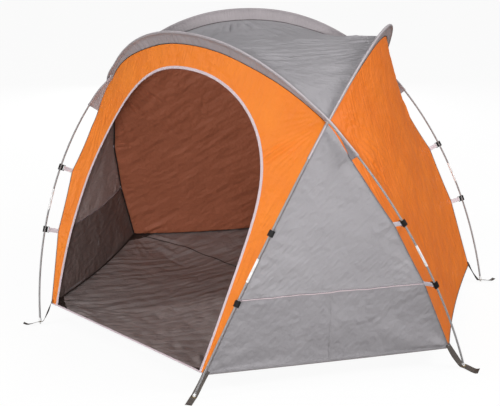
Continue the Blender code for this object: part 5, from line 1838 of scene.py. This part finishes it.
def clip_model():
    near = CLIP_BAR_OFFSET - ROD_RADIUS - CLIP_GAP
    far = CLIP_BAR_OFFSET + ROD_RADIUS + CLIP_GAP
    back = math.asin((ROD_RADIUS + CLIP_GAP) / CLIP_BAR_OFFSET)
    outside = math.asin((ROD_RADIUS + CLIP_GAP + CLIP_HOOK_WALL) / CLIP_BAR_OFFSET)
    mouth = -math.asin(CLIP_MOUTH_LENGTH / CLIP_BAR_OFFSET)
    hook = bar_arc(near, mouth, back) + bar_arc(far, back, mouth)
    hook += bar_arc(far + CLIP_HOOK_WALL, mouth, outside) + bar_arc(near - CLIP_HOOK_WALL, outside, mouth)
    half, slot = CLIP_HOOK_WIDTH / 2, CLIP_SLOT_WIDTH / 2
    middle, thick = CLIP_SLOT + CLIP_WALL / 2, CLIP_BAR_RADIUS
    parts = [
        prism("hook", hook, -half, half),
        slab((middle, -CLIP_PLATE_HALF, -half), (near - CLIP_HOOK_WALL / 2, CLIP_PLATE_HALF, half)),
        slab((CLIP_SLOT, -thick, -slot - CLIP_WALL), (CLIP_SLOT + CLIP_WALL, thick, slot + CLIP_WALL)),
        prism("bar", circle_outline(thick, CLIP_BAR_FACETS), -slot - CLIP_WALL / 2, slot + CLIP_WALL / 2),
    ]
    for side in (-1, 1):
        low, high = sorted((side * slot, side * (slot + CLIP_WALL)))
        parts.append(slab((-CLIP_CHEEK_HALF, -CLIP_CHEEK_HALF, low), (middle, CLIP_CHEEK_HALF, high)))
    for other in parts[1:]:
        union = parts[0].modifiers.new("union", "BOOLEAN")
        union.operation = "UNION"
        union.object = other
    bevel = parts[0].modifiers.new("soft_edges", "BEVEL")
    bevel.width = CLIP_BEVEL
    bevel.segments = 2
    bevel.limit_method = "ANGLE"
    bevel.angle_limit = SHARP_ANGLE
    result = baked(parts[0]).data
    for part in parts[1:]:
        bpy.data.objects.remove(part)
    bpy.data.objects.remove(parts[0])
    result.materials.clear()
    return result


def placed(name, model, origin, x_axis, y_axis, z_axis, material):
    """A copy of a model, moved to its own axes with its place in its mesh."""
    mesh = model.copy()
    axes = np.stack((x_axis, y_axis, z_axis), axis=1)
    rows = [(*row, place) for row, place in zip(axes, origin)]
    mesh.transform(Matrix(rows + [(0, 0, 0, 1)]))
    mesh.name = name
    mesh.materials.append(material)
    piece = bpy.data.objects.new(name, mesh)
    scene.collection.objects.link(piece)
    return piece


CLIP_MODEL = clip_model()
print("clip faces", len(CLIP_MODEL.polygons))

# %% [markdown]
# Each clip's bar sits in a loop of pale webbing. The webbing goes round the bar, comes
# back on itself, and both layers are sewn into the seam between two panels.

# %% Webbing tab
TAB_WIDTH = 0.020
TAB_WEBBING = 0.0011
TAB_GAP = 0.0004
TAB_SEWN_IN = 0.006
TAB_TOUCH = -0.0062  # the two layers come together here, past the bar
TAB_LOOP_TURN = math.radians(125)
TAB_LOOP_POINTS = 19
TAB_FLAT_POINTS = 12
TAB_LAYER_GAP = 0.0001


def tab_model(offset):
    """Webbing that goes round a clip's bar and back, for a seam this far from the rod."""
    middle = CLIP_BAR_RADIUS + TAB_GAP + TAB_WEBBING / 2
    half = TAB_WEBBING / 2 + TAB_LAYER_GAP
    end = -(offset - CLIP_BAR_OFFSET) - TAB_SEWN_IN
    angles = np.linspace(TAB_LOOP_TURN, -TAB_LOOP_TURN, TAB_LOOP_POINTS)
    loop = [(middle * math.cos(a), middle * math.sin(a)) for a in angles]
    upper = [(x, half) for x in np.linspace(end, TAB_TOUCH, TAB_FLAT_POINTS)]
    lower = [(x, -half) for x in np.linspace(TAB_TOUCH, end, TAB_FLAT_POINTS)]
    line = np.array([(x, y, 0) for x, y in upper + loop + lower])
    across = all_along(UP, line)
    piece = swept("tab", carried(line - PLAN_CENTRE, tape_outline(TAB_WIDTH, TAB_WEBBING), across))
    upright(piece)
    mesh = piece.data
    bpy.data.objects.remove(piece)
    return mesh


for height, along, offset in (
    ("lower", LOWER_TAB_ALONG, LOWER_TAB_OFFSET), ("upper", UPPER_TAB_ALONG, UPPER_TAB_OFFSET)
):
    model = tab_model(offset)
    for arch in ARCHES:
        for foot, place in zip(arch["feet"], (along, POLE_LENGTH - along)):
            centre, direction, towards, across = (v[0] for v in rod_frame(np.array((place,)), arch["lifts"]))
            bar = turn(centre + CLIP_BAR_OFFSET * towards, arch["turn"]) + PLAN_CENTRE
            axes = [turn(axis, arch["turn"]) for axis in (-towards, -across, direction)]
            clip = placed(f"clip_{foot}_{height}", CLIP_MODEL, bar, *axes, PLASTIC)
            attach(clip, f"clip_{foot}_{height}")
            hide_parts(f"pole_clip_{foot}_{height}")
            tab = placed(f"tab_{foot}_{height}", model, bar, *axes, TAB_WEBBING_CLOTH)
            in_tent(tab, "pale_webbing", f"clip_tab_{foot}_{height}")
print("clips", 2 * 2 * TURNS)

# %% [markdown]
# ## Corner straps and eyelets
#
# At each foot a dark strap runs from the cloth's corner to the rod's pin, turns flat
# under the rod's shoulder and ends in a loose tail that pulls it tight. The pin stands
# in a brass eyelet pressed through the strap.

# %% Corner straps
STRAP_WIDTH = 0.025
STRAP_THICKNESS = 0.0016
STRAP_START = 0.0012
STRAP_SEWN_IN = 0.014
STRAP_TAIL = 0.075
STRAP_SLACK = 0.004
STRAP_STEPS = 8
STRAP_TWIST = math.radians(16)
STRAP_TAIL_TWIST = math.radians(18)
STRAP_FLAT_STRETCH = 2
EYELET_ALONG = 0.0125
EYELET_BORE_RADIUS = 0.0045
EYELET_BARREL = 0.0008
EYELET_RADIUS = 0.009
EYELET_FLANGE = 0.0008
EYELET_FACETS = 40
HOLE_FACETS = 32
SAME_PLACE = 1e-6
FIT_GAP = 0.0003


def strap_route():
    """The strap's middle line: inwards from the foot, then up the leaning plane."""
    start = np.array((CORNER_OFFSET, CORNER_ALONG))
    flat = EYELET_RADIUS + FIT_GAP
    inner_edge = np.array((flat, EYELET_ALONG))
    inwards = units(start - inner_edge)
    return [
        start + STRAP_START * inwards,
        (start + inner_edge) / 2 - STRAP_SLACK * np.array((-inwards[1], inwards[0])),
        inner_edge,
        np.array((-flat, EYELET_ALONG)),
        np.array((-(flat + STRAP_TAIL) / 2, STRAP_TAIL_HEIGHT)),
        np.array((-(flat + 3 * STRAP_TAIL) / 4, STRAP_TAIL_HEIGHT)),
        np.array((-STRAP_TAIL, STRAP_TAIL_HEIGHT + STRAP_TAIL_CURL)),
    ]


def eased_curve(route, steps):
    """A smooth curve through the route, straight where the eyelet grips it."""
    points = []
    for k in range(len(route) - 1):
        before, start = route[max(k - 1, 0)], route[k]
        end, after = route[k + 1], route[min(k + 2, len(route) - 1)]
        if k == STRAP_FLAT_STRETCH:
            points += [start + share * (end - start) for share in np.linspace(0, 1, steps + 1)[:-1]]
            continue
        leave = start - before if k == STRAP_FLAT_STRETCH + 1 else (end - before) / 2
        arrive = after - end if k == STRAP_FLAT_STRETCH - 1 else (after - start) / 2
        for t in np.linspace(0, 1, steps + 1)[:-1]:
            square, cube = t * t, t * t * t
            points.append((2 * cube - 3 * square + 1) * start + (cube - 2 * square + t) * leave
                          + (3 * square - 2 * cube) * end + (cube - square) * arrive)
    points.append(route[-1])
    return np.array(points)


def strap_model():
    """The strap in its own axes, flat at the eyelet and twisted a little beside it."""
    line = eased_curve(strap_route(), STRAP_STEPS)
    back = line[0] - line[1]
    line = np.concatenate(((line[0] + STRAP_SEWN_IN * units(back),), line))
    points = np.stack((line[:, 0], np.zeros(len(line)), line[:, 1]), axis=1) - PLAN_CENTRE
    to_eyelet = np.linspace(0, 1, 2 * STRAP_STEPS + 1)
    tail = np.linspace(0, 1, len(points) - 3 * STRAP_STEPS - 1)
    twist = np.concatenate((
        STRAP_TWIST * np.sin(math.pi * to_eyelet) ** 2, np.zeros(STRAP_STEPS), STRAP_TAIL_TWIST * smooth(tail)
    ))[:, None]
    level = all_along((0, 1, 0), points)
    across = np.cos(twist) * level + np.sin(twist) * np.cross(directions(points), level)
    strap = upright(swept("strap", carried(points, tape_outline(STRAP_WIDTH, STRAP_THICKNESS), across)))
    radius = EYELET_BORE_RADIUS + EYELET_BARREL + FIT_GAP
    low, high = EYELET_ALONG - 2 * STRAP_THICKNESS, EYELET_ALONG + 2 * STRAP_THICKNESS
    cutter = prism("hole", circle_outline(radius, HOLE_FACETS), low, high)
    cut = strap.modifiers.new("hole", "BOOLEAN")
    cut.operation = "DIFFERENCE"
    cut.object = cutter
    mesh = baked(strap).data
    bpy.data.objects.remove(cutter)
    bpy.data.objects.remove(strap)
    mesh.materials.clear()
    return mesh


def eyelet_model():
    """A turned brass ring, rolled over the strap above and below."""
    half = STRAP_THICKNESS / 2 + FIT_GAP
    top = half + EYELET_FLANGE
    barrel = EYELET_BORE_RADIUS + EYELET_BARREL
    roll = EYELET_FLANGE
    upper = [
        (barrel, half), (EYELET_RADIUS - roll / 4, half), (EYELET_RADIUS, half + roll / 3),
        (EYELET_RADIUS - roll / 2, top - roll / 5), (EYELET_RADIUS - 2 * roll, top),
        (EYELET_BORE_RADIUS + roll, top), (EYELET_BORE_RADIUS + roll / 4, top - roll / 4),
        (EYELET_BORE_RADIUS, top - roll),
    ]
    profile = upper + [(radius, -height) for radius, height in upper[::-1]]
    sections = []
    for angle in np.linspace(0, 2 * math.pi, EYELET_FACETS + 1)[:-1]:
        sections.append([(r * math.cos(angle), r * math.sin(angle), EYELET_ALONG + h) for r, h in profile])
    sections = np.array(sections)
    ring = swept("eyelet", np.concatenate((sections, sections[:1])) - PLAN_CENTRE, capped=False)
    edit = bmesh.new()
    edit.from_mesh(ring.data)
    bmesh.ops.remove_doubles(edit, verts=edit.verts, dist=SAME_PLACE)
    bmesh.ops.recalc_face_normals(edit, faces=edit.faces)
    edit.to_mesh(ring.data)
    edit.free()
    mesh = ring.data
    bpy.data.objects.remove(ring)
    return mesh


STRAP_MODEL, EYELET_MODEL = strap_model(), eyelet_model()
for arch in ARCHES:
    for foot, inwards in zip(arch["feet"], (np.array((1, 0, 0)), np.array((-1, 0, 0)))):
        place = LEFT_FOOT if inwards[0] > 0 else RIGHT_FOOT
        origin = turn(place, arch["turn"]) + PLAN_CENTRE
        axes = [turn(axis, arch["turn"]) for axis in (inwards, np.cross(LEAN, inwards), LEAN)]
        strap = placed(f"strap_{foot}", STRAP_MODEL, origin, *axes, STRAP_WEBBING)
        in_tent(strap, "dark_webbing", f"corner_strap_{foot}")
        eyelet = placed(f"brass_eyelet_{foot}", EYELET_MODEL, origin, *axes, BRASS)
        in_tent(eyelet, "eyelet_brass", f"eyelet_{foot}")
print("straps", 2 * TURNS)

# %% [markdown]
# ## Stitches
#
# Every sewn line is a row of the same stitch, so a second geometry tree lays them: it
# walks along a line, stops at every stitch length, and sets a small bead of thread
# there that points along the line.

# %% The tree that sews
STITCH_PITCH = 0.0046
STITCH_LENGTH = 0.0032
THREAD_RADIUS = 0.00042
BEAD_FACES = 20  # an icosphere with one subdivision


def stitch_tree():
    """Set a bead of thread at every stitch, turned along the line."""
    tree, given, curve = started_tree("sewn_line", Finish="NodeSocketMaterial")
    stops = node(tree, "GeometryNodeResampleCurve", {"Curve": curve, "Length": STITCH_PITCH}, mode="LENGTH")
    bead = node(tree, "GeometryNodeMeshIcoSphere", {"Radius": 1, "Subdivisions": 1})
    tangent = node(tree, "GeometryNodeInputTangent").outputs["Tangent"]
    align = node(tree, "FunctionNodeAlignRotationToVector", {"Vector": tangent}, axis="X")
    laid = node(tree, "GeometryNodeInstanceOnPoints", {
        "Points": stops.outputs["Curve"], "Instance": bead.outputs["Mesh"],
        "Rotation": align.outputs["Rotation"], "Scale": (STITCH_LENGTH / 2, THREAD_RADIUS, THREAD_RADIUS),
    })
    return ended_tree(tree, given, laid.outputs["Instances"])


STITCH_TREE = stitch_tree()


def sewn(name, lines, material, slot_name):
    piece = grown(line_piece(name, lines), STITCH_TREE, Finish=material)
    piece.data.shade_smooth()
    in_tent(piece, slot_name)


# %% Sewn lines
BINDING_ROW = 0.0060  # from the opening's edge to the thread
ROW_INSET = 0.002  # from a fold's edge to its thread
FIN_ROW = 0.0035
FIN_ROW_INSET = 0.004
FIN_ROW_SAMPLES = 500
FIN_ROW_PROUD = 1.5 * SLEEVE_CLOTH

door_in = square_to(strips[-2] - door_edge, directions(door_edge))
door_out = np.cross(directions(door_edge), door_in)
door_out *= np.sign(np.sum(door_out * (door_edge - TENT_HEART), axis=1).sum())
door_row = door_edge + BINDING_ROW * door_in + BINDING_THICKNESS / 2 * door_out
sewn("door_stitches", (door_row,), PALE_THREAD, "piping_tape")

for name, (line, away, climb) in splash_seams.items():
    for rise in (SHADOW_LINE_RISE + ROW_INSET, SHADOW_LINE_RISE + SEAM_FOLD_WIDTH - ROW_INSET):
        grey_threads.append(line + rise * climb + SEAM_FOLD_THICKNESS * away)
    line, out = upright_seams[name]
    level = units(np.cross(directions(line), out))
    for side in (-1, 1):
        aside = side * (SEAM_FOLD_WIDTH / 2 - ROW_INSET)
        grey_threads.append(line + aside * level + UPRIGHT_FOLD_THICKNESS / 2 * out)
sewn("grey_stitches", grey_threads, GREY_THREAD, "grey_fabric")

row_end = SLEEVE_MOUTH + FIN_ROW_INSET
along = np.linspace(row_end, POLE_LENGTH - row_end, FIN_ROW_SAMPLES)
crest = from_foot(along) > CROSSING + CREST_FIN_WHOLE
for arch in ARCHES:
    centre, _, towards, across = rod_frame(along, arch["lifts"])
    reach = np.linalg.norm(seam(along) - centre, axis=1) - FIN_ROW
    lines = []
    for side in (-1, 1):
        line = centre + reach[:, None] * towards + side * FIN_ROW_PROUD * across
        lines.append(turn(line[crest], arch["turn"]))
    sewn(f"sleeve_stitches_{arch['name']}", lines, GREY_THREAD, "sleeve_fabric")
floor_row = FLOOR_SEAM_WIDTH / 2 - ROW_INSET
floor_threads = [floor_seam_line + (0, side * floor_row, FLOOR_SEAM_THICKNESS / 2) for side in (-1, 1)]
sewn("floor_stitches", floor_threads, GREY_THREAD, "floor_fabric")
sewn_pieces = [piece for piece in scene.objects if "stitches" in piece.name]
print("stitches", sum(len(piece.data.polygons) for piece in sewn_pieces) // BEAD_FACES)
